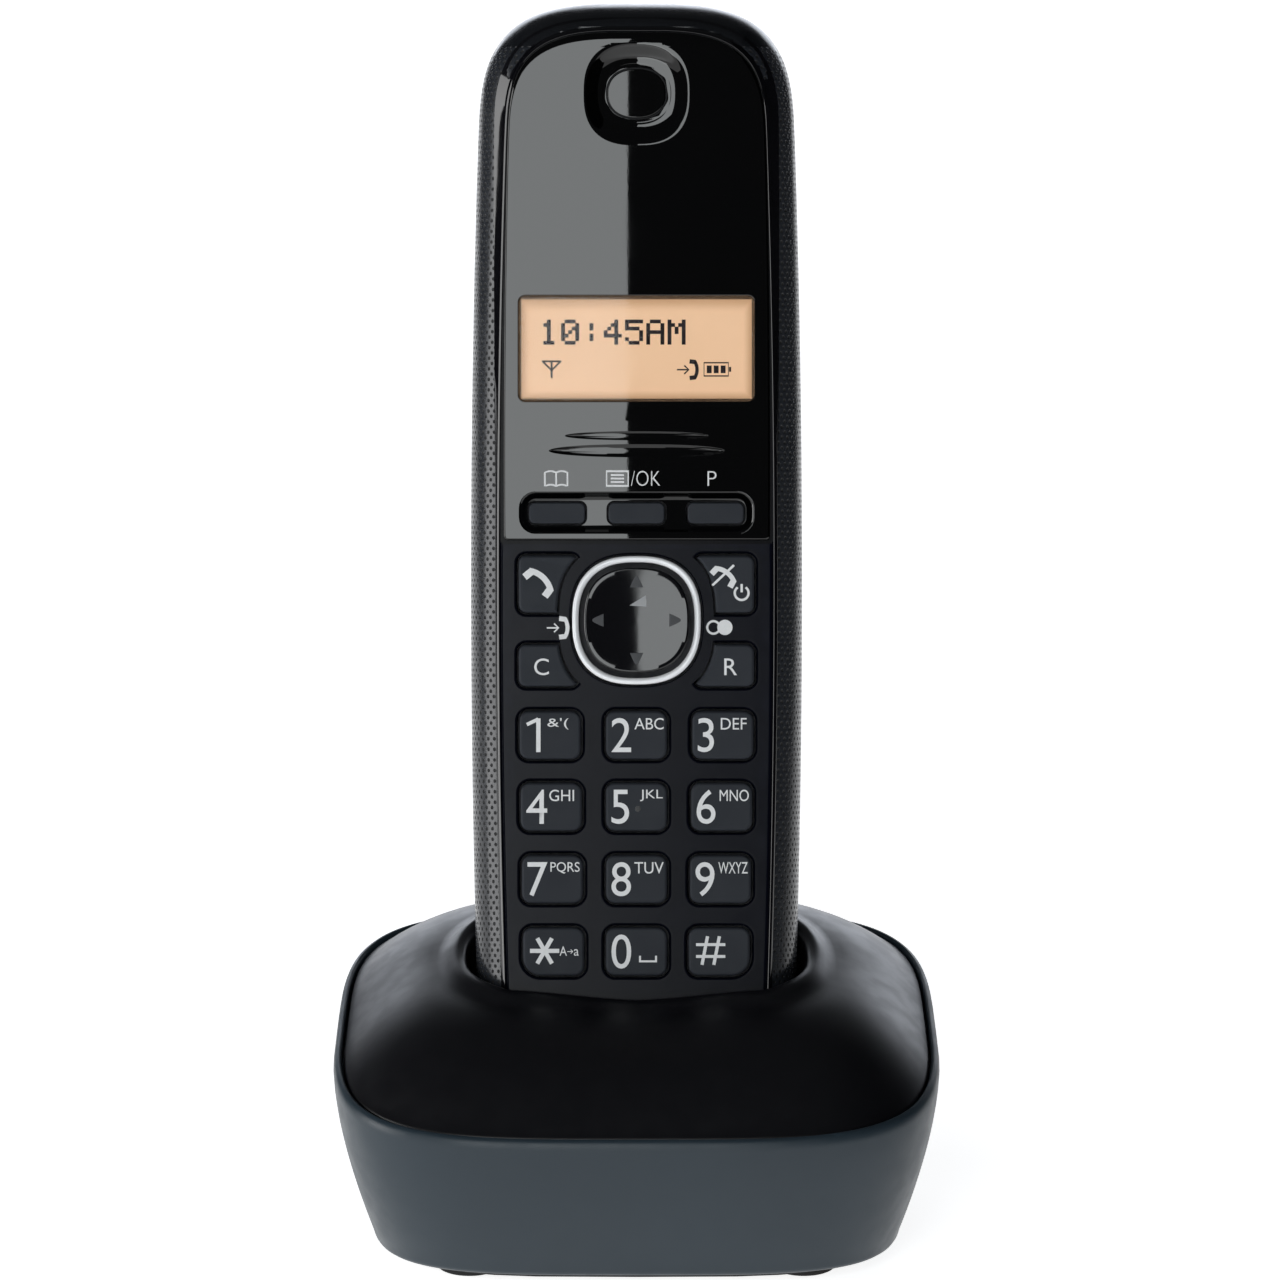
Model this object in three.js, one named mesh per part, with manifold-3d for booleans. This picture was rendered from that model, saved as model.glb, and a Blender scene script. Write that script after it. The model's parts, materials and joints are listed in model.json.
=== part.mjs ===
// Cordless telephone: a handset that leans back in its charging base.
// Millimetres, +Z up. The keypad faces -Y, and +X is on the right of a person who faces it.
// The handset is built in a frame of its own: x across, y up its length from the bottom end,
// z out of its face. That frame is then leaned back and set down in the cradle pocket.
import * as THREE from 'three';
import Module from 'manifold-3d';
import { mergeVertices } from 'three/addons/utils/BufferGeometryUtils.js';

const wasm = await Module();
wasm.setup();

const GAP = 0.3; // clearance between neighbouring pieces
const RING_POINTS = 36; // corners of every lofted section
const INNER_POINTS = 24; // the same for the hidden inside of the handset shell

// Handset outline and section
const LEAN = THREE.MathUtils.degToRad(17);
const HANDSET_FOOT = new THREE.Vector3(0, -2, 19.4);
const HANDSET_LENGTH = 158;
const HALF_WIDTH = 23.9;
const WIDEST_Y = 75;
const SIDE_BOW = 0.00026; // how fast the sides close in, per mm squared from the widest point
const TOP_BEND = 20; // length of the rounded top end
const BOTTOM_BEND = 16;
const END_POWER = 3.3; // squareness of the rounded ends
const TOP_DROP = 12; // length over which the thickness rounds off at the top
const BOTTOM_DROP = 8;
const DROP_POWER = 2.2;
const FRONT_DEPTH = 12;
const FRONT_POWER = 2.8;
const BACK_DEPTH = 14.2;
const BACK_POWER = 2.4;
const BACK_TAPER = 0.0005; // how fast the back thins towards the bottom end
const BACK_TAPER_Y = 95;
const SHELL = 1.8; // wall thickness of the mouldings

// Levels through the handset, along z
const CASE_EDGE = 8.2;
const FACE = 9.3;
const FACE_BACK = 7.0;
const PANEL_SEAT = 7.9;
const PANEL_FRONT = 9.6;
const MAT = [4.4, 5.5];
const BOARD = [2.4, 4.0];
const KEY_BACK = 6.7;
const KEY_FRONT = 10.3;

// Face layout, along y
const FACE_INSET = 4.0; // face edge, measured in from the handset's outline
const PANEL_INSET = 4.9;
const PANEL_LOW = 80.6;
const EARPIECE = { y: 144.8, halfX: 7.7, halfY: 7.4, power: 2.6, floor: 8.9 }; // the dish
const EAR_DISC = { halfX: 4.15, halfY: 3.5, power: 2.3, top: 8.8 }; // the pierced disc at its middle
const FINGER_DIP = { y: 94.1, halfX: 12.6, halfY: 1.6, floor: 9.0 };
const DISPLAY = { y: 108.15, width: 33.8, height: 15.1, radius: 0.9 };
const SOFT_RECESS = { y: 84.7, width: 33.6, height: 5.8, radius: 1.6, depth: 0.7 };
const SOFT_KEY = { y: 84.5, width: 8.05, height: 3.0, radius: 0.7, pitch: 11.4 };
const NAV = { y: 69.1, ring: 9.25, band: 0.9, pad: 7.6, power: 2.5, moat: 11.4, moatPower: 2.7 };
const CORNER_KEYS = {
  talk_key: { side: -1, low: 70.2, high: 78.4 },
  off_key: { side: 1, low: 70.2, high: 78.4 },
  clear_key: { side: -1, low: 59.6, high: 65.6 },
  recall_key: { side: 1, low: 59.6, high: 65.6 },
};
const CORNER_KEY_X = [6.0, 16.9]; // inner reach and outer edge of the keys beside the pad
const DIAL_KEY = { width: 8.8, height: 6.9, radius: 1.4, lowCorner: 4 };
const DIAL_ROWS_Y = [52.6, 42.3, 31.9, 21.5];
const DIAL_COLUMN_X = [12.4, 11.9]; // side columns in the first row and in the last
const DIAL_NAMES = [
  ['key_1', 'key_2', 'key_3'],
  ['key_4', 'key_5', 'key_6'],
  ['key_7', 'key_8', 'key_9'],
  ['key_star', 'key_0', 'key_hash'],
];

// Battery bay and its sliding cover
const CELL = { radius: 5.25, length: 44.5, x: 5.6, low: 44, z: -5.4 };
const BAY = { halfX: 11.4, low: 42.3, high: 90.8, top: 0.3 };
const BAY_WALL = 1.2;
const COVER = { halfX: 16.5, low: 40, high: 98, hingeZ: -11, thickness: 1.6 };
const SCREW = { x: 13.5, y: 94.4, head: 2.1, shank: 1.0, seat: -8.0 };
const RINGER = { y: 118, radius: 9, z: [-8.6, -4.6] };
const COVER_SLANT = THREE.MathUtils.degToRad(30); // its lower edge is scarfed along its slide

// Base
const BASE_Y = 2; // middle of the base, front to back
const RIM = { halfX: 43.9, halfY: 37.3, power: 3.9 };
const RIM_HEIGHT = 29.3;
const RIM_SLOPE = 0.15; // the rim climbs towards the back
const PLAN_TAPER = { start: -8, rate: 0.001 }; // the plan narrows a little towards the back
const WALL_TAPER = 5.5; // how far the wall draws in towards the bottom
const WALL_POWER = 1.5;
const BODY_LOW = 1.8;
const BODY_WALL = 2.4;
const LIP = 1.2; // width of the rolled rim
const LEDGE = 2.6; // depth of the seat that carries the cover
const OPENING_HEIGHT = 38.8; // the cradle mouth at the middle of the base
const OPENING_SLOPE = 0.24;
const POCKET_GAP = 1.2;
const DOME_POWER = 1.7;
const PLATE_INSET = 8.6;
const PLATE = [0.8, 2.8];
const FOOT = { radius: 4.5, x: 24, front: -20, back: 24, top: 1.6 };
const BASE_BOARD = { halfX: 27, halfY: 21, z: [5.4, 7.0] };
const JACK_Y = [20.5, 34.2];
const LINE_JACK = { x: [-21.5, -8.5], z: [7.4, 17.4] };
const POWER_JACK = { x: [9.5, 19.5], z: [7.4, 17.4] };
const LOCATOR = { halfX: 4, y: [31.5, 38.5], z: [20, 24.5] };
const BASE_SCREW = { x: 27, y: 2 };
const CONTACT = { x: 13, halfX: 1.6, z: [-2.6, 0.8] };

const plastic = (color, roughness) => new THREE.MeshStandardMaterial({ color, roughness, metalness: 0 });
const metal = (color, roughness) => new THREE.MeshStandardMaterial({ color, roughness, metalness: 1 });

// --- solids ---------------------------------------------------------------------------------

function toSolid(geometry) {
  const plain = geometry.clone();
  plain.deleteAttribute('normal');
  plain.deleteAttribute('uv');
  const merged = mergeVertices(plain, 1e-4);
  return new wasm.Manifold(new wasm.Mesh({
    numProp: 3,
    vertProperties: new Float32Array(merged.attributes.position.array),
    triVerts: new Uint32Array(merged.index.array),
  }));
}

function toGeometry(solid) {
  const { vertProperties, triVerts, numProp } = solid.getMesh();
  const geometry = new THREE.BufferGeometry();
  geometry.setAttribute('position', new THREE.BufferAttribute(vertProperties, numProp));
  geometry.setIndex(new THREE.BufferAttribute(triVerts, 1));
  geometry.computeVertexNormals();
  return geometry;
}

function cut(geometry, ...tools) {
  return toGeometry(tools.reduce((solid, tool) => solid.subtract(toSolid(tool)), toSolid(geometry)));
}

function join(geometry, ...others) {
  return toGeometry(others.reduce((solid, other) => solid.add(toSolid(other)), toSolid(geometry)));
}

function common(geometry, other) {
  return toGeometry(toSolid(geometry).intersect(toSolid(other)));
}

function box(x, y, z) {
  const geometry = new THREE.BoxGeometry(x[1] - x[0], y[1] - y[0], z[1] - z[0]);
  return geometry.translate((x[0] + x[1]) / 2, (y[0] + y[1]) / 2, (z[0] + z[1]) / 2);
}

// A round bar along z
function rod(radius, x, y, z, sides = 20) {
  const geometry = new THREE.CylinderGeometry(radius, radius, z[1] - z[0], sides);
  return geometry.rotateX(Math.PI / 2).translate(x, y, (z[0] + z[1]) / 2);
}

// A plate with a flat outline, from one level to another along z
function slab(outline, z) {
  const settings = { depth: z[1] - z[0], bevelEnabled: false };
  return new THREE.ExtrudeGeometry(new THREE.Shape(outline), settings).translate(0, 0, z[0]);
}

// A closed skin through rings of equally many points. A solid gets a flat fan over its first and
// last ring; a hoop joins its last ring to its first.
function loft(rings, hoop = false) {
  const size = rings[0].length;
  const positions = rings.flat().flatMap((point) => point.toArray());
  const faces = [];
  const bands = hoop ? rings.length : rings.length - 1;
  for (let ring = 0; ring < bands; ring += 1) {
    const next = (ring + 1) % rings.length;
    for (let i = 0; i < size; i += 1) {
      const j = (i + 1) % size;
      const [a, b] = [ring * size + i, ring * size + j];
      const [c, d] = [next * size + i, next * size + j];
      faces.push(a, b, d, a, d, c);
    }
  }
  if (!hoop) {
    const ends = [rings[0], rings[rings.length - 1]];
    ends.forEach((ring, end) => {
      const hub = positions.length / 3;
      const middle = new THREE.Vector3();
      ring.forEach((point) => middle.add(point));
      positions.push(...middle.divideScalar(size).toArray());
      const start = end === 0 ? 0 : (rings.length - 1) * size;
      for (let i = 0; i < size; i += 1) {
        const j = (i + 1) % size;
        faces.push(hub, start + (end === 0 ? j : i), start + (end === 0 ? i : j));
      }
    });
  }
  const geometry = new THREE.BufferGeometry();
  geometry.setAttribute('position', new THREE.Float32BufferAttribute(positions, 3));
  geometry.setIndex(faces);
  geometry.computeVertexNormals();
  return geometry;
}

// --- outlines -------------------------------------------------------------------------------

const signedPower = (value, power) => Math.sign(value) * Math.abs(value) ** power;

function roundedBox(x, y, width, height, radius, steps = 4) {
  const points = [];
  for (let corner = 0; corner < 4; corner += 1) {
    const sideX = corner === 0 || corner === 3 ? 1 : -1;
    const sideY = corner < 2 ? 1 : -1;
    for (let i = 0; i <= steps; i += 1) {
      const angle = (corner + i / steps) * Math.PI / 2;
      points.push(new THREE.Vector2(
        x + sideX * (width / 2 - radius) + radius * Math.cos(angle),
        y + sideY * (height / 2 - radius) + radius * Math.sin(angle),
      ));
    }
  }
  return points;
}

function squircle(x, y, halfX, halfY, power, count = 36) {
  return Array.from({ length: count }, (_, i) => {
    const angle = i * 2 * Math.PI / count;
    return new THREE.Vector2(
      x + halfX * signedPower(Math.cos(angle), 2 / power),
      y + halfY * signedPower(Math.sin(angle), 2 / power),
    );
  });
}

// --- the handset's form ---------------------------------------------------------------------

function endFactor(y, grow, topBend, bottomBend, power) {
  const above = Math.max(0, y - (HANDSET_LENGTH - topBend)) / (topBend + grow);
  const below = Math.max(0, bottomBend - y) / (bottomBend + grow);
  return (1 - Math.min(1, Math.max(above, below)) ** power) ** (1 / power);
}

function halfWidth(y, grow) {
  const side = HALF_WIDTH - SIDE_BOW * (y - WIDEST_Y) ** 2 + grow;
  return side * endFactor(y, grow, TOP_BEND, BOTTOM_BEND, END_POWER);
}

// Heights of the sections, close together where the ends round off
function stations(grow) {
  const bends = [86, 76, 62, 44, 24].map((angle) => Math.sin(THREE.MathUtils.degToRad(angle)));
  const low = bends.map((s) => BOTTOM_BEND - (BOTTOM_BEND + grow) * s ** (2 / END_POWER));
  const high = bends.map((s) => HANDSET_LENGTH - TOP_BEND + (TOP_BEND + grow) * s ** (2 / END_POWER));
  return [...low, BOTTOM_BEND, 40, 70, 100, 122, HANDSET_LENGTH - TOP_BEND, ...high.reverse()];
}

// A point of the section at height y. Turn 0 faces front, and a quarter turn is at +x.
function handsetPoint(turn, y, grow, face) {
  const drop = endFactor(y, grow, TOP_DROP, BOTTOM_DROP, DROP_POWER);
  const [across, out] = [Math.sin(turn), Math.cos(turn)];
  const power = out > 0 ? FRONT_POWER : BACK_POWER;
  const back = BACK_DEPTH - BACK_TAPER * Math.max(0, BACK_TAPER_Y - y) ** 2;
  const depth = ((out > 0 ? FRONT_DEPTH : back) + grow) * drop;
  const x = halfWidth(y, grow) * signedPower(across, 2 / power);
  return new THREE.Vector3(x, y, Math.min(face, depth * signedPower(out, 2 / power)));
}

const fullTurn = (count) => Array.from({ length: count }, (_, i) => i * 2 * Math.PI / count);
const turns = fullTurn(RING_POINTS);

function handsetForm(grow, face, around = turns) {
  return loft(stations(grow).map((y) => around.map((turn) => handsetPoint(turn, y, grow, face))));
}

function faceOutline(inset) {
  const right = stations(-inset).map((y) => new THREE.Vector2(halfWidth(y, -inset), y));
  const left = [...right].reverse().map((point) => new THREE.Vector2(-point.x, point.y));
  return [...right, ...left];
}

// --- handset mouldings ----------------------------------------------------------------------

// The block that the battery cover slides out of, with its low end scarfed along the slide
function coverBlock(grow) {
  const run = Math.tan(Math.PI / 2 - COVER_SLANT);
  const [outer, inner] = [-20, -7];
  const outline = [
    new THREE.Vector2(COVER.low - grow / Math.sin(COVER_SLANT) + (outer - COVER.hingeZ) * run, outer),
    new THREE.Vector2(COVER.high + grow, outer),
    new THREE.Vector2(COVER.high + grow, inner),
    new THREE.Vector2(COVER.low - grow / Math.sin(COVER_SLANT) + (inner - COVER.hingeZ) * run, inner),
  ];
  const half = COVER.halfX + grow;
  // the outline lies in the y-z plane and is drawn out along x
  const turned = new THREE.Matrix4().set(0, 0, 1, 0, 1, 0, 0, 0, 0, 1, 0, 0, 0, 0, 0, 1);
  return slab(outline, [-half, half]).applyMatrix4(turned);
}

function batteryCover() {
  const skin = cut(handsetForm(0, CASE_EDGE), handsetForm(-COVER.thickness, CASE_EDGE + 1));
  return common(skin, coverBlock(0));
}

function rearCase() {
  const outer = handsetForm(0, CASE_EDGE);
  const blockX = [-COVER.halfX - 1.2, COVER.halfX + 1.2];
  const block = common(outer, box(blockX, [COVER.low - 6, COVER.high + 2], [-20, BAY.top + BAY_WALL]));
  const bed = common(
    cut(handsetForm(2, 20), handsetForm(-COVER.thickness - GAP, 20)),
    coverBlock(GAP),
  );
  const slots = [-2, -1, 0, 1, 2].map((i) => box([-7 + Math.abs(i), 7 - Math.abs(i)],
    [RINGER.y + i * 2.6 - 0.6, RINGER.y + i * 2.6 + 0.6], [-20, -8]));
  const contacts = [-1, 1].map((side) => box(
    [side * CONTACT.x - CONTACT.halfX - GAP, side * CONTACT.x + CONTACT.halfX + GAP],
    [-2, 3.2], [CONTACT.z[0] - GAP, CONTACT.z[1] + GAP]));
  const screws = [-1, 1].map((side) => rod(SCREW.head + GAP, side * SCREW.x, SCREW.y, [-20, SCREW.seat]));
  const shanks = [-1, 1].map((side) => rod(SCREW.shank + GAP, side * SCREW.x, SCREW.y, [-20, 3]));
  return cut(
    join(cut(outer, handsetForm(-SHELL, 20, fullTurn(INNER_POINTS))), block),
    slab(faceOutline(FACE_INSET - GAP), [FACE_BACK - GAP, 20]),
    bed,
    box([-BAY.halfX, BAY.halfX], [BAY.low, BAY.high], [-20, BAY.top]),
    ...slots,
    ...contacts,
    ...screws,
    ...shanks,
  );
}

function dialKeys() {
  return DIAL_NAMES.flatMap((names, row) => names.map((name, column) => ({
    name,
    x: (column - 1) * THREE.MathUtils.lerp(...DIAL_COLUMN_X, row / (DIAL_NAMES.length - 1)),
    y: DIAL_ROWS_Y[row],
  })));
}

const softKeyX = { soft_key_left: -SOFT_KEY.pitch, soft_key_middle: 0, soft_key_right: SOFT_KEY.pitch };

// The lowest keys at the sides have a wider outer corner, which follows the end of the handset
function dialKeySlab(key, grow, z) {
  const { radius, lowCorner } = DIAL_KEY;
  const [width, height] = [DIAL_KEY.width + 2 * grow, DIAL_KEY.height + 2 * grow];
  const blank = slab(roundedBox(key.x, key.y, width, height, radius + grow), z);
  const side = Math.sign(key.x);
  if (key.y > DIAL_ROWS_Y[3] || side === 0) return blank;
  const trim = roundedBox(key.x - side * width / 2, key.y + height / 2, 2 * width, 2 * height, lowCorner + grow);
  return common(blank, slab(trim, [z[0] - 1, z[1] + 1]));
}

function softKeySlab(x, grow, z) {
  const { y, width, height, radius } = SOFT_KEY;
  return slab(roundedBox(x, y, width + 2 * grow, height + 2 * grow, radius + grow), z);
}

// The keys beside the pad are hollowed to follow the ring round it
function cornerKeySlab(key, grow, z) {
  const middle = key.side * (CORNER_KEY_X[0] + CORNER_KEY_X[1]) / 2;
  const width = CORNER_KEY_X[1] - CORNER_KEY_X[0] + 2 * grow;
  const blank = roundedBox(middle, (key.low + key.high) / 2, width, key.high - key.low + 2 * grow, 1.2 + grow);
  const moat = squircle(0, NAV.y, NAV.moat - grow, NAV.moat - grow, NAV.moatPower);
  return cut(slab(blank, z), slab(moat, [z[0] - 1, z[1] + 1]));
}

function navPlate(half, z) {
  return slab(squircle(0, NAV.y, half, half, NAV.power), z);
}

function displaySlab(grow, z) {
  const { y, width, height, radius } = DISPLAY;
  return slab(roundedBox(0, y, width + 2 * grow, height + 2 * grow, radius), z);
}

function upperPanelSlab(inset, low, z) {
  return common(slab(faceOutline(inset), z), box([-30, 30], [low, 200], [z[0] - 1, z[1] + 1]));
}

function frontCase() {
  const through = [FACE_BACK - 1, FACE + 1];
  return cut(
    slab(faceOutline(FACE_INSET), [FACE_BACK, FACE]),
    upperPanelSlab(PANEL_INSET - GAP, PANEL_LOW - GAP, [PANEL_SEAT, FACE + 1]),
    displaySlab(-GAP, through),
    slab(squircle(0, EARPIECE.y, 3.0, 1.8, 2), through),
    navPlate(NAV.ring + GAP, through),
    ...dialKeys().map((key) => dialKeySlab(key, GAP, through)),
    ...Object.values(softKeyX).map((x) => softKeySlab(x, GAP, through)),
    ...Object.values(CORNER_KEYS).map((key) => cornerKeySlab(key, GAP, through)),
  );
}

function displayPanel() {
  const through = [PANEL_SEAT, PANEL_FRONT + 1];
  const { y, width, height, radius, depth } = SOFT_RECESS;
  const dish = squircle(0, EARPIECE.y, EARPIECE.halfX, EARPIECE.halfY, EARPIECE.power);
  const hole = squircle(0, EARPIECE.y, EAR_DISC.halfX + GAP, EAR_DISC.halfY + GAP, EAR_DISC.power);
  const dip = squircle(0, FINGER_DIP.y, FINGER_DIP.halfX, FINGER_DIP.halfY, 2);
  return cut(
    upperPanelSlab(PANEL_INSET, PANEL_LOW, [PANEL_SEAT + GAP, PANEL_FRONT]),
    displaySlab(0, through),
    slab(dish, [EARPIECE.floor, through[1]]),
    slab(hole, through),
    slab(dip, [FINGER_DIP.floor, through[1]]),
    slab(roundedBox(0, y, width, height, radius), [PANEL_FRONT - depth, through[1]]),
    ...Object.values(softKeyX).map((x) => softKeySlab(x, GAP, through)),
  );
}

function earpieceGrille() {
  const { halfX, halfY, power, top } = EAR_DISC;
  const disc = slab(squircle(0, EARPIECE.y, halfX, halfY, power), [PANEL_SEAT + GAP, top]);
  const slot = slab(squircle(0, EARPIECE.y, 2.4, 0.5, 2.4, 20), [PANEL_SEAT, PANEL_FRONT]);
  return cut(disc, slot);
}

// --- handset inner pieces -------------------------------------------------------------------

function keyMat() {
  const [low, high] = [16.5, 88.5];
  return slab(roundedBox(0, (low + high) / 2, 34.6, high - low, 2), MAT);
}

function handsetBoard() {
  const [low, high] = [16, 134];
  return slab(roundedBox(0, (low + high) / 2, 34, high - low, 3), BOARD);
}

function cell(side) {
  const geometry = new THREE.CylinderGeometry(CELL.radius, CELL.radius, CELL.length, 24);
  const tip = new THREE.CylinderGeometry(2.7, 2.7, 1.2, 16).translate(0, side * CELL.length / 2, 0);
  const body = geometry.scale(1, (CELL.length - 1) / CELL.length, 1);
  return join(body, tip).translate(side * CELL.x, CELL.low + CELL.length / 2, CELL.z);
}

function cellTerminals(y) {
  return box([-BAY.halfX + 0.6, BAY.halfX - 0.6], y, [CELL.z - 4, CELL.z + 4]);
}

function caseScrew(side) {
  const head = rod(SCREW.head, side * SCREW.x, SCREW.y, [SCREW.seat - GAP - 1.5, SCREW.seat - GAP]);
  const shank = rod(SCREW.shank, side * SCREW.x, SCREW.y, [SCREW.seat - 1, 0.8], 12);
  const drive = [[1.2, 0.25], [0.25, 1.2]].map(([x, y]) => box(
    [side * SCREW.x - x, side * SCREW.x + x], [SCREW.y - y, SCREW.y + y],
    [SCREW.seat - 4, SCREW.seat - GAP - 0.9]));
  return cut(join(head, shank), ...drive);
}

function handsetContact(side) {
  const x = side * CONTACT.x;
  return box([x - CONTACT.halfX, x + CONTACT.halfX], [0.9, 2.9], CONTACT.z);
}

// --- base -----------------------------------------------------------------------------------

const rimZ = (y) => RIM_HEIGHT + RIM_SLOPE * y;

// A ring of the base's plan, drawn in by an inset, at a height given by its place front to back
function baseRing(inset, height) {
  return turns.map((turn) => {
    const y = BASE_Y - (RIM.halfY - inset) * signedPower(Math.cos(turn), 2 / RIM.power);
    const narrowing = 1 - PLAN_TAPER.rate * Math.max(0, y - PLAN_TAPER.start);
    const x = (RIM.halfX - inset) * narrowing * signedPower(Math.sin(turn), 2 / RIM.power);
    return new THREE.Vector3(x, y, height(y));
  });
}

function baseOutline(inset) {
  return baseRing(inset, () => 0).map((point) => new THREE.Vector2(point.x, point.y));
}

function wallRing(share, thickness) {
  const inset = WALL_TAPER * (1 - share) ** WALL_POWER + thickness;
  return baseRing(inset, (y) => THREE.MathUtils.lerp(BODY_LOW + 1.2, rimZ(y) - 0.5, share));
}

function baseBody() {
  const shares = [0, 0.14, 0.32, 0.55, 0.8, 1];
  const rings = [
    baseRing(PLATE_INSET - GAP, () => BODY_LOW),
    baseRing(WALL_TAPER + 1.0, () => BODY_LOW),
    baseRing(WALL_TAPER + 0.3, () => BODY_LOW + 0.5),
    ...shares.map((share) => wallRing(share, 0)),
    baseRing(0.35, (y) => rimZ(y)),
    baseRing(LIP, (y) => rimZ(y)),
    baseRing(LIP, (y) => rimZ(y) - LEDGE),
    baseRing(LIP + BODY_WALL - 0.6, (y) => rimZ(y) - LEDGE - 0.4),
    wallRing(0.6, BODY_WALL),
    wallRing(0.1, BODY_WALL),
    baseRing(PLATE_INSET - GAP, () => PLATE[1] + 1),
  ];
  const mouths = [
    box([LINE_JACK.x[0] - GAP, LINE_JACK.x[1] + GAP], [30, 50], [LINE_JACK.z[0] - GAP, LINE_JACK.z[1] + GAP]),
    box([POWER_JACK.x[0] - GAP, POWER_JACK.x[1] + GAP], [30, 50], [POWER_JACK.z[0] - GAP, POWER_JACK.z[1] + GAP]),
    box([-LOCATOR.halfX - GAP, LOCATOR.halfX + GAP], [30, 50], [LOCATOR.z[0] - GAP, LOCATOR.z[1] + GAP]),
  ];
  return cut(loft(rings, true), ...mouths);
}

const handset = new THREE.Group();
handset.position.copy(HANDSET_FOOT);
handset.rotation.x = Math.PI / 2 - LEAN;
handset.updateMatrix();
const inBase = (point) => point.clone().applyMatrix4(handset.matrix);

// The pocket's wall, as a ring that follows the slope of the cradle mouth
function mouthRing(grow, face, lower) {
  const [s, c] = [Math.sin(LEAN), Math.cos(LEAN)];
  const rise = OPENING_HEIGHT + OPENING_SLOPE * HANDSET_FOOT.y - HANDSET_FOOT.z - lower;
  return turns.map((turn) => {
    let y = 20;
    for (let pass = 0; pass < 4; pass += 1) {
      const z = handsetPoint(turn, y, grow, face).z;
      y = (rise - z * (s + OPENING_SLOPE * c)) / (c - OPENING_SLOPE * s);
    }
    return inBase(handsetPoint(turn, y, grow, face));
  });
}

// Rings of the pocket below its mouth, from its floor up
function pocketRings(grow, face) {
  const heights = [86, 70, 48, 24].map((angle) => {
    const s = Math.sin(THREE.MathUtils.degToRad(angle));
    return BOTTOM_BEND - (BOTTOM_BEND + grow) * s ** (2 / END_POWER);
  });
  return heights.map((y) => turns.map((turn) => inBase(handsetPoint(turn, y, grow, face))));
}

// Rings of the dome between the rim and the cradle mouth
function domeRings(rim, mouth, shares) {
  return shares.map((share) => rim.map((point, i) => {
    const ring = point.clone().lerp(mouth[i], share);
    ring.z = THREE.MathUtils.lerp(point.z, mouth[i].z, 1 - (1 - share) ** DOME_POWER);
    return ring;
  }));
}

function baseCover() {
  const face = PANEL_FRONT + POCKET_GAP;
  const edge = LIP + GAP;
  const top = mouthRing(POCKET_GAP, face, 0.6);
  const crest = mouthRing(POCKET_GAP + 0.9, face + 0.9, 0);
  const under = mouthRing(POCKET_GAP + SHELL, face + SHELL, 2.6);
  const rimIn = baseRing(edge + SHELL, (y) => rimZ(y) - 1.2);
  const rings = [
    ...pocketRings(POCKET_GAP + SHELL, face + SHELL),
    under,
    ...domeRings(rimIn, under, [0.15, 0.4, 0.7]).reverse(),
    rimIn,
    baseRing(edge + SHELL, (y) => rimZ(y) - LEDGE + GAP),
    baseRing(edge, (y) => rimZ(y) - LEDGE + GAP),
    baseRing(edge, (y) => rimZ(y) - 0.3),
    ...domeRings(baseRing(edge + 0.4, (y) => rimZ(y)), crest, [0, 0.06, 0.16, 0.32, 0.52, 0.76, 1]),
    top,
    ...pocketRings(POCKET_GAP, face).reverse(),
  ];
  const slots = [-1, 1].map((side) => box(
    [side * CONTACT.x - CONTACT.halfX - GAP, side * CONTACT.x + CONTACT.halfX + GAP],
    [-8, 5], [CONTACT.z[0] - GAP, CONTACT.z[1] + GAP]).applyMatrix4(handset.matrix));
  return cut(loft(rings), ...slots);
}

function bottomPlate() {
  const feet = footPlaces().map(([x, y]) => rod(FOOT.radius + GAP, x, y, [0, FOOT.top + GAP]));
  const screws = [-1, 1].map((side) => rod(3.2, side * BASE_SCREW.x, BASE_SCREW.y, [0, 2.0]));
  const shanks = [-1, 1].map((side) => rod(1.6, side * BASE_SCREW.x, BASE_SCREW.y, [0, 5], 14));
  return cut(slab(baseOutline(PLATE_INSET), PLATE), ...feet, ...screws, ...shanks);
}

function footPlaces() {
  return [FOOT.front, FOOT.back].flatMap((y) => [[-FOOT.x, y], [FOOT.x, y]]);
}

function baseScrew(side) {
  const head = rod(2.6, side * BASE_SCREW.x, BASE_SCREW.y, [1.0, 1.7]);
  const shank = rod(1.2, side * BASE_SCREW.x, BASE_SCREW.y, [1.4, 4.6], 12);
  return join(head, shank);
}

function lineJack() {
  const housing = box(LINE_JACK.x, JACK_Y, LINE_JACK.z);
  const middle = (LINE_JACK.x[0] + LINE_JACK.x[1]) / 2;
  const socket = box([middle - 4.9, middle + 4.9], [JACK_Y[0] + 2, JACK_Y[1] + 1], [9.4, 15.8]);
  const keyway = box([middle - 1.6, middle + 1.6], [JACK_Y[0] + 2, JACK_Y[1] + 1], [8.2, 9.6]);
  return cut(housing, socket, keyway);
}

function powerJack() {
  const [x, z] = [(POWER_JACK.x[0] + POWER_JACK.x[1]) / 2, (POWER_JACK.z[0] + POWER_JACK.z[1]) / 2];
  const along = (radius, y) => new THREE.CylinderGeometry(radius, radius, y[1] - y[0], 20)
    .translate(x, (y[0] + y[1]) / 2, z);
  const socket = along(3.1, [JACK_Y[0] + 3, JACK_Y[1] + 1]);
  return join(cut(box(POWER_JACK.x, JACK_Y, POWER_JACK.z), socket), along(1, [JACK_Y[0] + 2, JACK_Y[1] - 1.5]));
}

// A sprung strip that stands up through the pocket floor
function baseContact(side) {
  const x = side * CONTACT.x;
  return box([x - CONTACT.halfX, x + CONTACT.halfX], [-6.2, 0.5], CONTACT.z).applyMatrix4(handset.matrix);
}

// --- assembly -------------------------------------------------------------------------------

const phone = new THREE.Group();
const base = new THREE.Group();
phone.add(base, handset);

function add(group, name, geometry, material) {
  const mesh = new THREE.Mesh(geometry, material);
  mesh.name = name;
  group.add(mesh);
}

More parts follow.
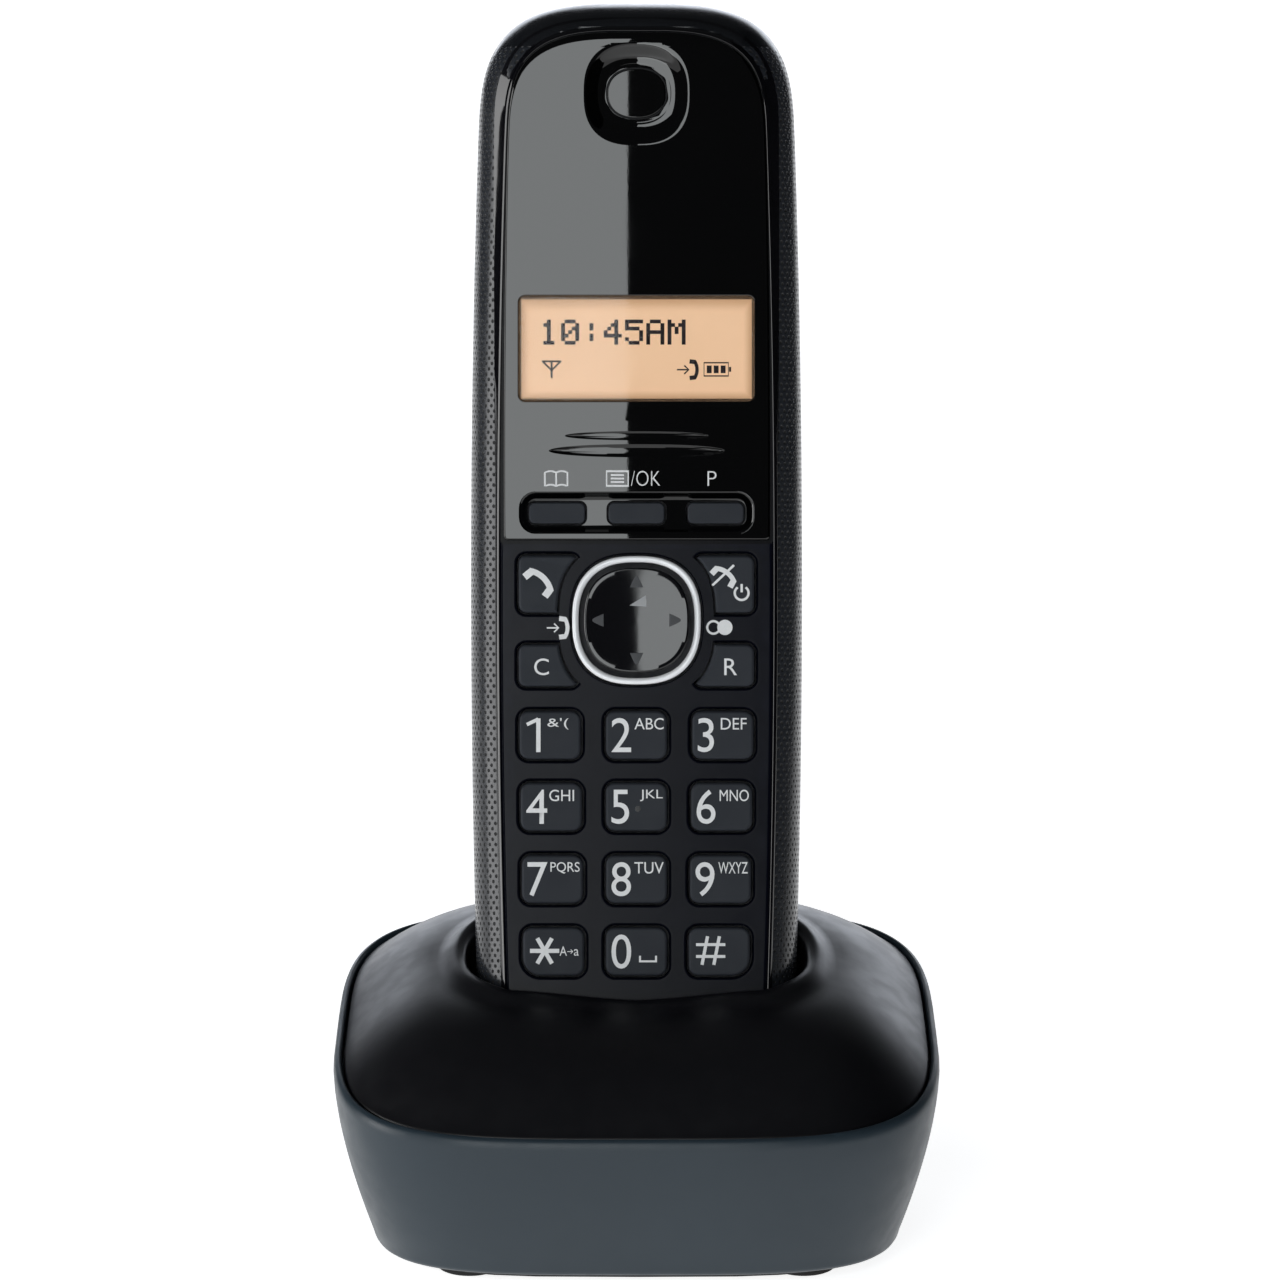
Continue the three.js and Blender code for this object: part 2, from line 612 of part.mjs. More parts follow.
add(base, 'base_body', baseBody(), plastic(0x3a444c, 0.55));
add(base, 'base_cover', baseCover(), plastic(0x121216, 0.45));
add(base, 'bottom_plate', bottomPlate(), plastic(0x1c2024, 0.6));
footPlaces().forEach(([x, y]) => {
  const name = `foot_${y < 0 ? 'front' : 'back'}_${x < 0 ? 'left' : 'right'}`;
  add(base, name, rod(FOOT.radius, x, y, [0, FOOT.top], 24), plastic(0x202020, 0.9));
});
add(base, 'base_board', slab(roundedBox(0, BASE_Y, 2 * BASE_BOARD.halfX, 2 * BASE_BOARD.halfY, 3),
  BASE_BOARD.z), plastic(0x1c5a34, 0.5));
add(base, 'radio_shield', box([-9, 9], [-16, -4], [7.4, 10.2]), metal(0xc8ccd0, 0.35));
add(base, 'line_jack', lineJack(), plastic(0x1a1a1a, 0.5));
add(base, 'power_jack', powerJack(), plastic(0x1a1a1a, 0.5));
add(base, 'locator_button', box([-LOCATOR.halfX, LOCATOR.halfX], LOCATOR.y, LOCATOR.z),
  plastic(0x22262a, 0.5));
[-1, 1].forEach((side) => {
  const name = side < 0 ? 'left' : 'right';
  add(base, `base_contact_${name}`, baseContact(side), metal(0xd8d4c8, 0.3));
  add(base, `base_screw_${name}`, baseScrew(side), metal(0x8a8d90, 0.4));
});

add(handset, 'rear_case', rearCase(), plastic(0x2a2c30, 0.6));
add(handset, 'front_case', frontCase(), plastic(0x1b1c22, 0.5));
add(handset, 'display_panel', displayPanel(), plastic(0x050506, 0.08));
add(handset, 'display_window', displaySlab(-GAP, [8.3, 9.3]), plastic(0xe8c9a4, 0.1));
add(handset, 'display_module', displaySlab(-2 * GAP, [4.6, 7.7]), plastic(0xebc396, 0.6));
add(handset, 'earpiece_grille', earpieceGrille(), plastic(0x0a0a0b, 0.15));
add(handset, 'earpiece_speaker', rod(7.6, 0, EARPIECE.y, [2.8, 6.6], 28), metal(0x909498, 0.5));
Object.entries(softKeyX).forEach(([name, x]) => {
  add(handset, name, softKeySlab(x, 0, [KEY_BACK, PANEL_FRONT - 0.1]), plastic(0x24262a, 0.5));
});
Object.entries(CORNER_KEYS).forEach(([name, key]) => {
  add(handset, name, cornerKeySlab(key, 0, [KEY_BACK, KEY_FRONT]), plastic(0x2b2e34, 0.5));
});
dialKeys().forEach((key) => {
  add(handset, key.name, dialKeySlab(key, 0, [KEY_BACK, KEY_FRONT]), plastic(0x2b2e34, 0.5));
});
add(handset, 'nav_ring', cut(navPlate(NAV.ring, [KEY_BACK + GAP, 10.0]),
  navPlate(NAV.ring - NAV.band, [0, 20])), metal(0xdfe1e4, 0.3));
add(handset, 'nav_pad', navPlate(NAV.pad, [7.8, 10.6]), plastic(0x08080a, 0.12));
add(handset, 'nav_post', rod(2, 0, NAV.y, [6.0, 7.4], 16), plastic(0x5a5a5a, 0.8));
add(handset, 'key_mat', keyMat(), plastic(0x6a6c70, 0.85));
add(handset, 'handset_board', handsetBoard(), plastic(0x1c5a34, 0.5));
add(handset, 'microphone', rod(3, 0, 12, [3.0, 6.2]), metal(0xa0a4a8, 0.4));
add(handset, 'ringer', rod(RINGER.radius, 0, RINGER.y, RINGER.z, 28), metal(0x909498, 0.5));
add(handset, 'battery_cover', batteryCover(), plastic(0x2a2c30, 0.6));
add(handset, 'cell_terminals_low', cellTerminals([BAY.low + 0.4, BAY.low + 1.0]), metal(0xc8ccd0, 0.3));
add(handset, 'cell_terminals_high', cellTerminals([BAY.high - 1.2, BAY.high - 0.4]), metal(0xc8ccd0, 0.3));
[-1, 1].forEach((side) => {
  const name = side < 0 ? 'left' : 'right';
  add(handset, `cell_${name}`, cell(side), metal(0x4a6a58, 0.4));
  add(handset, `case_screw_${name}`, caseScrew(side), metal(0x8a8d90, 0.4));
  add(handset, `handset_contact_${name}`, handsetContact(side), metal(0xd8d4c8, 0.3));
});

// The origin is on the table under the middle of the whole phone.
const bounds = new THREE.Box3().setFromObject(phone, true);
const middle = bounds.getCenter(new THREE.Vector3());
phone.position.set(-middle.x, -middle.y, -bounds.min.z);

export default phone;
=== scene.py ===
from math import atan2, copysign, cos, hypot, pi, radians, sin, tan

import bpy
from mathutils import Matrix, Vector
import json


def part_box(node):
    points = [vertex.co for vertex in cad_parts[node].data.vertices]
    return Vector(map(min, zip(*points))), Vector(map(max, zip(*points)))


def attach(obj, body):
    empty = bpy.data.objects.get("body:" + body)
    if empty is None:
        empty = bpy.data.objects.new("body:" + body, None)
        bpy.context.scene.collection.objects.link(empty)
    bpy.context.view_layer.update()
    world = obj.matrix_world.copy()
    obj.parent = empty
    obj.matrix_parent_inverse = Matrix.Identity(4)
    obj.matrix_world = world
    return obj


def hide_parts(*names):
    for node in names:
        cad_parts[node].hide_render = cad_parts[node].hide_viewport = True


# Cordless telephone: a handset that leans back in its charging base.
# Sizes are in millimetres in two frames. The handset's has x across, y up its length from the
# bottom end and z out of its face. The base's has x across, y to the back and z up.

MM = 0.001
GAP = 0.3  # clearance between neighbouring pieces

# Handset outline and section
LENGTH = 158
HALF_WIDTH = 23.9
WIDEST_Y = 75
SIDE_BOW = 0.00026
TOP_BEND = 20
BOTTOM_BEND = 16
END_POWER = 3.3
TOP_DROP = 12
BOTTOM_DROP = 8
DROP_POWER = 2.2
FRONT_DEPTH = 12
FRONT_POWER = 2.8
BACK_DEPTH = 14.2
BACK_POWER = 2.4
BACK_TAPER = 0.0005
BACK_TAPER_Y = 95
SHELL = 1.8
# Where the dimples stop and the cap's painted shade starts, lower towards the sides
DIMPLES_END = {"middle": 151.5, "side": 163.1, "fall": 0.61}
AROUND = 128  # points of every section
TURNS = [i * 2 * pi / AROUND for i in range(AROUND)]
HOLE_LOW = 5  # below the deck, where its holes start
CLEAR = 20  # a level in front of the handset, and behind it when negative
OVER = 0.01  # how far an eased hole rises past the surface it opens

# Levels out of the handset
CASE_EDGE = 8.7
FACE = 9.3
FACE_BACK = 7.0
PANEL_SEAT = 7.9
PANEL_FRONT = 9.6
KEY_BACK = 6.7
KEY_FRONT = 10.3
PRINT = 0.02  # how far printed figures stand off their surface
PRINT_LAYER = 0.003  # between printed shapes that overlap
DIGIT = {"left": 3.6, "drop": 2.45, "height": 4.9, "stretch": 0.92}
LETTERS = {"rise": 0.8, "height": 1.65}
LETTERS_WIDTH = 4.2  # most that a key's letters take
# Start and stretch of a key's letters, where they differ from the rest
LETTERS_PLACE = {"1": (-0.4, 1.6), "5": (0.5, 1.25)}

# Face layout
FACE_INSET = 4.0
PANEL_INSET = 4.9
PANEL_LOW = 80.6
PANEL_CORNER = 0.5
EARPIECE = {"y": 144.8, "half": (7.7, 7.6), "power": 2.6}
EAR_DISC = {"y": 144.8, "half": (4.15, 3.5), "power": 2.3}
EAR_DISC_TOP = 8.9
SOUND_HOLE = (3.0, 1.8)
# Place, half size and depth
FINGER_DIPS = ((95.6, (10.3, 0.65), 0.22), (93.45, (12.6, 0.95), 0.3))
DISPLAY = {"y": 108.15, "size": (33.8, 15.1), "radius": 0.9}
SOFT_RECESS = {"y": 84.55, "size": (33.8, 6.1), "radius": 2.4}
SOFT_KEY = {"y": 84.5, "size": (8.05, 3.0), "radius": 0.85}
SOFT_PITCH = 11.4
KEY_EDGE = 0.42
NAV = {"y": 69.1, "pivot": 6.7, "ring": 9.25, "band": 0.95, "pad": 7.6, "power": 2.5}
MOAT = {"half": 11.4, "power": 2.7}  # the island round the pad, which the keys beside it follow
CORNER_KEYS = {
    "talk_key": (-1, 70.2, 78.4),
    "off_key": (1, 70.2, 78.4),
    "clear_key": (-1, 59.6, 65.6),
    "recall_key": (1, 59.6, 65.6),
}
CORNER_KEY_X = (8.4, 16.9)
DIAL_SIZE = (8.8, 6.9)
DIAL_RADIUS = 1.4
DIAL_LOW_CORNER = 2.6
DIAL_ROWS = (52.6, 42.3, 31.9, 21.5)
DIAL_COLUMN = (12.4, 11.9)
DIAL_KEYS = (
    (("key_1", "1", "&'("), ("key_2", "2", "ABC"), ("key_3", "3", "DEF")),
    (("key_4", "4", "GHI"), ("key_5", "5", "JKL"), ("key_6", "6", "MNO")),
    (("key_7", "7", "PQRS"), ("key_8", "8", "TUV"), ("key_9", "9", "WXYZ")),
    (("key_star", "", ""), ("key_0", "0", ""), ("key_hash", "", "")),
)

# Battery bay, its cover and the back of the handset
BAY = {"half": 11.4, "low": 42.3, "high": 90.8, "top": 0.3, "wall": 1.2}
COVER = {"half": 16.5, "low": 40, "high": 98, "hinge": -11, "thickness": 1.6, "slant": radians(30)}
SCREW = {"x": 13.5, "y": 94.4, "head": 2.1, "shank": 1.0, "seat": -8.0}
RINGER = {"y": 118, "pitch": 2.6, "size": (14, 1.2), "taper": 2, "radius": 0.59}
THUMB_RIBS = {"y": 90, "pitch": 1.7, "size": (15, 0.7), "taper": 1.2, "floor": -13.75}
CONTACT = {"x": 13, "half": 1.6, "z": (-2.6, 0.8)}

# Base
BASE_Y = 2
RIM = {"half": (43.9, 37.3), "power": 3.9, "height": 29.3, "slope": 0.15}
PLAN_TAPER = (-8, 0.001)
WALL_TAPER = 5.5
WALL_POWER = 1.5
WALL_ENDS = (1.2, 1.7)  # what the rolled foot and the rolled rim take of its height
BODY_LOW = 1.8
BODY_WALL = 2.4
LIP = 1.2
LEDGE = 2.6
MOUTH = {"height": 38.8, "slope": 0.24, "gap": 1.2, "curl": 1.3}
HANDSET_FOOT = (0, -2, 19.4)
LEAN = radians(17)
DOME_POWER = 2.0
COLLAR = {"height": 1.5, "width": 3.2}
PLATE_INSET = 8.6
PLATE_TOP = 2.8
FOOT = {"radius": 4.5, "top": 1.6}
JACKS = (((-21.5, -8.5), (7.4, 17.4)), ((9.5, 19.5), (7.4, 17.4)))
LOCATOR = {"half": 4, "y": (31.5, 38.5), "z": (20, 24.5)}

# Photograph-like view: a long lens whose axis is square to the keypad
VIEW = {"distance": 3000, "width": 183.9, "x": 0.5, "up": 81.36}

# The room, in metres. Each light has its place, its aim, its size, its radiance and its tint.
# The card light's right edge is in millimetres from the middle plane.
CARD = {"size": (0.34, 0.6), "edge": -1.8, "away": 0.9, "radiance": 4.5, "colour": (0.95, 0.99, 1.0)}
LIGHTS = {
    "left": ((-0.8, -0.165, 0.1), (0, 0, 0.08), (0.6, 0.75), 4.5, (1, 1, 1)),
    "back": ((0, 1.2, 0.3), (0, 0, 0.05), (1.8, 0.5), 2.4, (0.86, 0.91, 1.0)),
}
FLAGS = {"flag_right": ((0.4, -0.9), (0.4, 0.6)), "flag_left": ((-0.62, 0.06), (-0.45, 0.9))}
FLAG_Z = (0.001, 0.8)
FLOOR = {"reach": 8, "squares": 8}
ROOM_GLOW = {"Color": (0.9, 0.95, 1, 1), "Strength": 0.05}

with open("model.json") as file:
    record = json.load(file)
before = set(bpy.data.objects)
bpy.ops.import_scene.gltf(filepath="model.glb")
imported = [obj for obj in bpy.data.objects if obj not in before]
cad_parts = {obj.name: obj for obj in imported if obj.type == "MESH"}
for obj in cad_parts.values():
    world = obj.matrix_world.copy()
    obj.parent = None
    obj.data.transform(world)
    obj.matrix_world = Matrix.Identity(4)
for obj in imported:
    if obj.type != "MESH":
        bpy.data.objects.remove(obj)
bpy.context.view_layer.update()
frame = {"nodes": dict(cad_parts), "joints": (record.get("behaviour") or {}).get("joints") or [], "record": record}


def joint(name):
    return next(j for j in frame["joints"] if j["name"] == name)


def handset_place():
    up = Vector(joint("handset_lift")["axis"])
    out = -Vector(joint("key_5_press")["axis"])
    pivot = Vector(joint("nav_tilt_up_down")["pos_m"])
    turned = Matrix((up.cross(out), up, out)).transposed().to_4x4()
    return Matrix.Translation(pivot - up * NAV["y"] * MM - out * NAV["pivot"] * MM) @ turned


def base_place():
    low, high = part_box("base_body")
    return Matrix.Translation(((low.x + high.x) / 2, (low.y + high.y) / 2 - BASE_Y * MM, 0))


HANDSET = handset_place()
BASE = base_place()


# --- camera, light and floor ---


def stand(name, data):
    """A new object in the scene"""
    made = bpy.data.objects.new(name, data)
    bpy.context.scene.collection.objects.link(made)
    return made


def make_camera():
    up, out = HANDSET.col[1].xyz, HANDSET.col[2].xyz
    climb = VIEW["up"] * MM - up.dot(HANDSET.translation)
    target = HANDSET.translation + up * climb + out * PANEL_FRONT * MM + Vector((VIEW["x"] * MM, 0, 0))
    data = bpy.data.cameras.new("camera")
    data.lens = data.sensor_width * VIEW["distance"] / VIEW["width"]
    camera = stand("camera", data)
    stance = Matrix.Translation(target + out * VIEW["distance"] * MM)
    camera.matrix_world = stance @ HANDSET.to_3x3().to_4x4()
    bpy.context.scene.camera = camera
    return target


def area_light(name, position, target, size, radiance, colour):
    """A rectangular soft light whose face has the given radiance."""
    data = bpy.data.lights.new(name, "AREA")
    data.shape = "RECTANGLE"
    data.size, data.size_y = size
    data.energy = radiance * pi * size[0] * size[1]
    data.color = colour
    light = stand(name, data)
    light.location = position
    light.rotation_euler = (Vector(target) - Vector(position)).to_track_quat("-Z", "Y").to_euler()
    light.visible_camera = False
    return light


def card_light(target):
    """The tall card in front, left of the lens. Its right edge makes the line down the gloss panel."""
    out, up = HANDSET.col[2].xyz, HANDSET.col[1].xyz
    middle = target + out * CARD["away"]
    middle.x = CARD["edge"] * MM - CARD["size"][0] / 2
    light = area_light("card", middle, middle - out, CARD["size"], CARD["radiance"], CARD["colour"])
    turn = Matrix((Vector((1, 0, 0)), up, out)).transposed().to_4x4()
    light.matrix_world = Matrix.Translation(middle) @ turn


def make_lights(target):
    card_light(target)
    for name, setting in LIGHTS.items():
        area_light(name, *setting)


def sheet(name, points, faces, recipe):
    mesh = bpy.data.meshes.new(name)
    mesh.from_pydata(points, [], faces)
    mesh.materials.append(recipe.material)
    return stand(name, mesh)


def make_flags():
    """Black cards beside the phone that only reflections see. They keep its flanks dark."""
    recipe = Recipe("flag_felt", {"Roughness": 0.95, "Specular IOR Level": 0.0})
    recipe.colour(recipe.noise(40, 3), (0.002, 0.002, 0.002), (0.003, 0.003, 0.003))
    for name, ends in FLAGS.items():
        flag = sheet(name, [(x, y, z) for z in FLAG_Z for x, y in ends], [(0, 1, 3, 2)], recipe)
        flag.visible_camera = flag.visible_diffuse = False
        flag.visible_shadow = flag.visible_transmission = False


def make_world():
    """White to the camera, and a faint glow to everything else"""
    world = bpy.data.worlds.new("studio")
    world.use_nodes = True
    nodes, links = world.node_tree.nodes, world.node_tree.links
    white, glow = nodes["Background"], nodes.new("ShaderNodeBackground")
    white.inputs["Color"].default_value = (1, 1, 1, 1)
    for socket, value in ROOM_GLOW.items():
        glow.inputs[socket].default_value = value
    path, mix = nodes.new("ShaderNodeLightPath"), nodes.new("ShaderNodeMixShader")
    links.new(path.outputs["Is Camera Ray"], mix.inputs["Fac"])
    links.new(glow.outputs["Background"], mix.inputs[1])
    links.new(white.outputs["Background"], mix.inputs[2])
    links.new(mix.outputs["Shader"], nodes["World Output"].inputs["Surface"])
    bpy.context.scene.world = world
    bpy.context.scene.view_settings.view_transform = "Standard"


def make_floor():
    """A wide pale table top in squares"""
    squares, across = FLOOR["squares"], FLOOR["squares"] + 1
    steps = [FLOOR["reach"] * (2 * k / squares - 1) for k in range(across)]
    corners = [across * j + i for j in range(squares) for i in range(squares)]
    faces = [(c, c + 1, c + across + 1, c + across) for c in corners]
    glow = {"Emission Strength": 0.85, "Emission Color": (1, 1, 1, 1)}
    recipe = Recipe("floor_paper", {"Roughness": 0.9, "Specular IOR Level": 0.1, **glow})
    recipe.colour(recipe.noise(40, 3), (0.86, 0.86, 0.86), (0.9, 0.9, 0.9))
    floor = sheet("floor", [(x, y, 0) for y in steps for x in steps], faces, recipe)


# --- materials ---


CLOUD = (0.35, 0.65)  # the part of a noise's range that holds nearly all of it
MIX = {"share": 0, "first": 6, "second": 7, "result": 2}  # sockets of a Mix node set to colours


class Recipe:
    """A material being made: its Principled shader and the nodes that feed it."""

    def __init__(self, name, settings=None):
        self.material = bpy.data.materials.new(name)
        self.material.use_nodes = True
        self.tree = self.material.node_tree
        self.surface = self.tree.nodes["Principled BSDF"]
        self.place = self.node("TexCoord").outputs["Object"]
        for socket, value in (settings or {}).items():
            self.surface.inputs[socket].default_value = value

    def node(self, kind, inputs=None, **settings):
        """A new node. Its inputs are values or other nodes' outputs."""
        node = self.tree.nodes.new(f"ShaderNode{kind}")
        for name, value in settings.items():
            setattr(node, name, value)
        for socket, value in (inputs or {}).items():
            if isinstance(value, bpy.types.NodeSocket):
                self.tree.links.new(value, node.inputs[socket])
            else:
                node.inputs[socket].default_value = value
        return node

    def drive(self, socket, output):
        self.tree.links.new(output, self.surface.inputs[socket])

    def math(self, operation, *values):
        return self.node("Math", dict(enumerate(values)), operation=operation).outputs[0]

    def span(self, value, low, high, to_low, to_high):
        """value from low..high carried smoothly over to to_low..to_high"""
        inputs = dict(enumerate((value, low, high, to_low, to_high)))
        return self.node("MapRange", inputs, interpolation_type="SMOOTHSTEP").outputs[0]

    def noise(self, scale, detail=2, stretch=(1, 1, 1)):
        mapping = self.node("Mapping", {"Vector": self.place, "Scale": stretch})
        inputs = {"Vector": mapping.outputs[0], "Scale": scale, "Detail": detail}
        return self.node("TexNoise", inputs).outputs[0]

    def handset_axes(self):
        """The handset's own three coordinates in millimetres"""
        inputs = {"Vector": self.place, "Location": HANDSET.translation, "Rotation": HANDSET.to_euler()}
        mapping = self.node("Mapping", {**inputs, "Scale": (MM, MM, MM)}, vector_type="TEXTURE")
        return self.node("SeparateXYZ", {0: mapping.outputs[0]}).outputs

    def mix(self, share, first, second, blend="MIX"):
        inputs = {MIX["share"]: share}
        for side, value in (("first", first), ("second", second)):
            inputs[MIX[side]] = (*value, 1) if isinstance(value, tuple) else value
        return self.node("Mix", inputs, data_type="RGBA", blend_type=blend).outputs[MIX["result"]]

    def colour(self, share, first, second):
        self.drive("Base Color", self.mix(share, first, second))

    def rough(self, low, high, scale=300, detail=4):
        self.drive("Roughness", self.span(self.noise(scale, detail), *CLOUD, low, high))

    def bump(self, height, depth):
        """Relief of the given depth in millimetres"""
        self.drive("Normal", self.node("Bump", {"Height": height, "Distance": depth * MM}).outputs[0])

    def worn(self):
        """1 along edges that stick out, where hands rub"""
        rub = self.span(self.node("NewGeometry").outputs["Pointiness"], 0.52, 0.6, 0.0, 1.0)
        return self.math("MULTIPLY", rub, self.span(self.noise(500, 4), 0.4, 0.65, 0.2, 1.0))


def shade(colour, factor):
    return tuple(channel * factor for channel in colour)


def satin(name, colour, roughness, grain=0.006, size=4200, specular=0.4):
    """Moulded plastic: spark-eroded grain, slightly uneven gloss and edges rubbed lighter"""
    recipe = Recipe(name, {"Specular IOR Level": specular})
    body = recipe.mix(recipe.noise(70, 4), shade(colour, 0.9), shade(colour, 1.1))
    recipe.colour(recipe.math("MULTIPLY", recipe.worn(), 0.5), body, shade(colour, 1.8))
    recipe.rough(roughness * 0.93, roughness * 1.08)
    recipe.bump(recipe.noise(size, 2), grain)
    return recipe.material


def gloss(name, colour, roughness=0.006):
    """Polished plastic with faint smears and hairline scratches"""
    recipe = Recipe(name, {"Specular IOR Level": 0.5})
    recipe.colour(recipe.noise(50, 3), shade(colour, 0.8), shade(colour, 1.2))
    recipe.rough(roughness, roughness * 1.8, 90, 5)
    recipe.bump(recipe.noise(900, 3, (6, 0.6, 1)), 0.00003)
    return recipe.material


def metal(name, colour, roughness, grain=(1, 1, 1)):
    recipe = Recipe(name, {"Metallic": 1.0})
    recipe.colour(recipe.noise(220, 4, grain), shade(colour, 0.85), shade(colour, 1.05))
    recipe.rough(roughness - 0.05, roughness + 0.07, 700, 4)
    recipe.bump(recipe.noise(3500, 3, grain), 0.004)
    return recipe.material


def silver_paint():
    """Satin silver lacquer with fine flake"""
    recipe = Recipe("silver_paint", {"Metallic": 0.25})
    body = recipe.mix(recipe.noise(9000, 1), (0.68, 0.69, 0.71), (0.8, 0.81, 0.83))
    recipe.colour(recipe.math("MULTIPLY", recipe.worn(), 0.3), body, (0.86, 0.86, 0.86))
    recipe.rough(0.38, 0.46, 900)
    recipe.bump(recipe.noise(7000, 1), 0.002)
    return recipe.material


def dots(recipe, across, along, pitch=(1.15, 0.76), radius=0.22):
    """1 inside staggered round dimples on a surface with these two coordinates in millimetres"""
    row = recipe.math("DIVIDE", along, pitch[1])
    shift = recipe.math("MULTIPLY", recipe.math("FLOORED_MODULO", recipe.math("FLOOR", row), 2.0), 0.5)
    column = recipe.math("ADD", recipe.math("DIVIDE", across, pitch[0]), shift)
    squares = []
    for place, step in ((column, pitch[0]), (row, pitch[1])):
        off = recipe.math("MULTIPLY", recipe.math("SUBTRACT", recipe.math("FRACT", place), 0.5), step)
        squares.append(recipe.math("MULTIPLY", off, off))
    away = recipe.math("SQRT", recipe.math("ADD", *squares))
    return recipe.span(away, radius - 0.06, radius + 0.05, 1.0, 0.0)


def dimpled_plastic(name, colour):
    """Grip plastic with rows of dimples, which stop at a plain cap over the top end. The dimples are painted near
    black and the cap at half the colour, both as painted shade.
    """
    recipe = Recipe(name, {"Specular IOR Level": 0.45})
    x, y, _ = recipe.handset_axes()
    around = recipe.node("Attribute", attribute_name="around").outputs["Fac"]
    slope = recipe.math("MULTIPLY", recipe.math("ABSOLUTE", x), DIMPLES_END["fall"])
    side = recipe.math("SUBTRACT", DIMPLES_END["side"], slope)
    limit = recipe.math("MINIMUM", side, DIMPLES_END["middle"])
    dimples_else_shaded_cap = recipe.span(recipe.math("SUBTRACT", limit, y), -0.15, 0.25, 0.0, 1.0)
    holes = recipe.math("MULTIPLY", dots(recipe, around, y), dimples_else_shaded_cap)
    body = recipe.mix(recipe.noise(70, 4), shade(colour, 0.9), shade(colour, 1.12))
    # The cap over the top end is painted at half the colour: painted shade that keeps the up-facing cap dark
    body = recipe.mix(dimples_else_shaded_cap, shade(colour, 0.5), body)
    rubbed = recipe.mix(recipe.math("MULTIPLY", recipe.worn(), 0.15), body, shade(colour, 1.8))
    # The dimples are painted near black: painted shade in their hollows
    recipe.colour(holes, rubbed, shade(colour, 0.06))
    shine = recipe.span(recipe.noise(300, 4), *CLOUD, 0.2, 0.26)
    recipe.drive("Roughness", recipe.math("ADD", shine, recipe.math("MULTIPLY", holes, 0.5)))
    grain = recipe.math("MULTIPLY", recipe.noise(4200, 2), 0.03)
    recipe.bump(recipe.math("SUBTRACT", grain, holes), 0.16)
    return recipe.material


def lcd_glow():
    """Backlit liquid crystal, a little uneven. Its glow is the backlight and also stands in for the light the
    clear window stops. Painted shade from the frame blacks out its rim and dims it near the frame.
    """
    # The emission is the crystal's backlight, and it also makes up for the light that the clear window keeps off
    # it
    recipe = Recipe("lcd_glow", {"Roughness": 0.5, "Emission Strength": 0.95, "Specular IOR Level": 0.2})
    x, y, _ = recipe.handset_axes()
    width, height = DISPLAY["size"]
    side = recipe.math("SUBTRACT", width / 2, recipe.math("ABSOLUTE", x))
    top = recipe.math("SUBTRACT", DISPLAY["y"] + height / 2, y)
    low = recipe.math("SUBTRACT", y, DISPLAY["y"] - height / 2)
    # Painted shade cast by the frame: black at the rim under its edge, then a darker peach that fades out over
    # about 1.7 mm, reaching farther below the top edge
    edge = recipe.math("MINIMUM", recipe.math("MINIMUM", side, low), recipe.math("MULTIPLY", top, 0.7))
    clear_of_frame_shade = recipe.span(edge, 0.3, 1.7, 0.0, 1.0)
    inside = recipe.span(edge, 0.3, 0.38, 0.0, 1.0)
    glow = recipe.mix(inside, (0, 0, 0), recipe.mix(clear_of_frame_shade, (0.5, 0.3, 0.17), (0.79, 0.53, 0.34)))
    uneven = recipe.mix(recipe.noise(60, 2), (0.93, 0.93, 0.93), (1, 1, 1))
    recipe.drive("Emission Color", recipe.mix(1.0, glow, uneven, "MULTIPLY"))
    recipe.colour(recipe.noise(700, 2), (0.12, 0.075, 0.04), (0.15, 0.09, 0.05))
    recipe.bump(recipe.noise(1500, 1), 0.001)
    return recipe.material


def clear_window():
    recipe = Recipe("clear_window", {"Transmission Weight": 1.0, "IOR": 1.2})
    recipe.colour(recipe.noise(60, 2), (0.97, 0.95, 0.93), (1, 0.99, 0.98))
    recipe.rough(0.01, 0.03, 90, 5)
    return recipe.material


def legend_ink(name, colour):
    """Screen-printed ink, a little uneven at its edges"""
    recipe = Recipe(name, {"Specular IOR Level": 0.3})
    recipe.colour(recipe.noise(2500, 3), shade(colour, 0.88), colour)
    recipe.rough(0.5, 0.65, 900)
    recipe.bump(recipe.noise(5000, 2), 0.003)
    return recipe.material


def board_green():
    recipe = Recipe("board_green", {"Coat Weight": 0.4})
    tracks = recipe.span(recipe.noise(260, 0, (1, 5, 1)), 0.48, 0.52, 0.0, 1.0)
    recipe.colour(tracks, (0.01, 0.09, 0.03), (0.02, 0.17, 0.06))
    recipe.rough(0.3, 0.42)
    recipe.bump(tracks, 0.03)
    return recipe.material


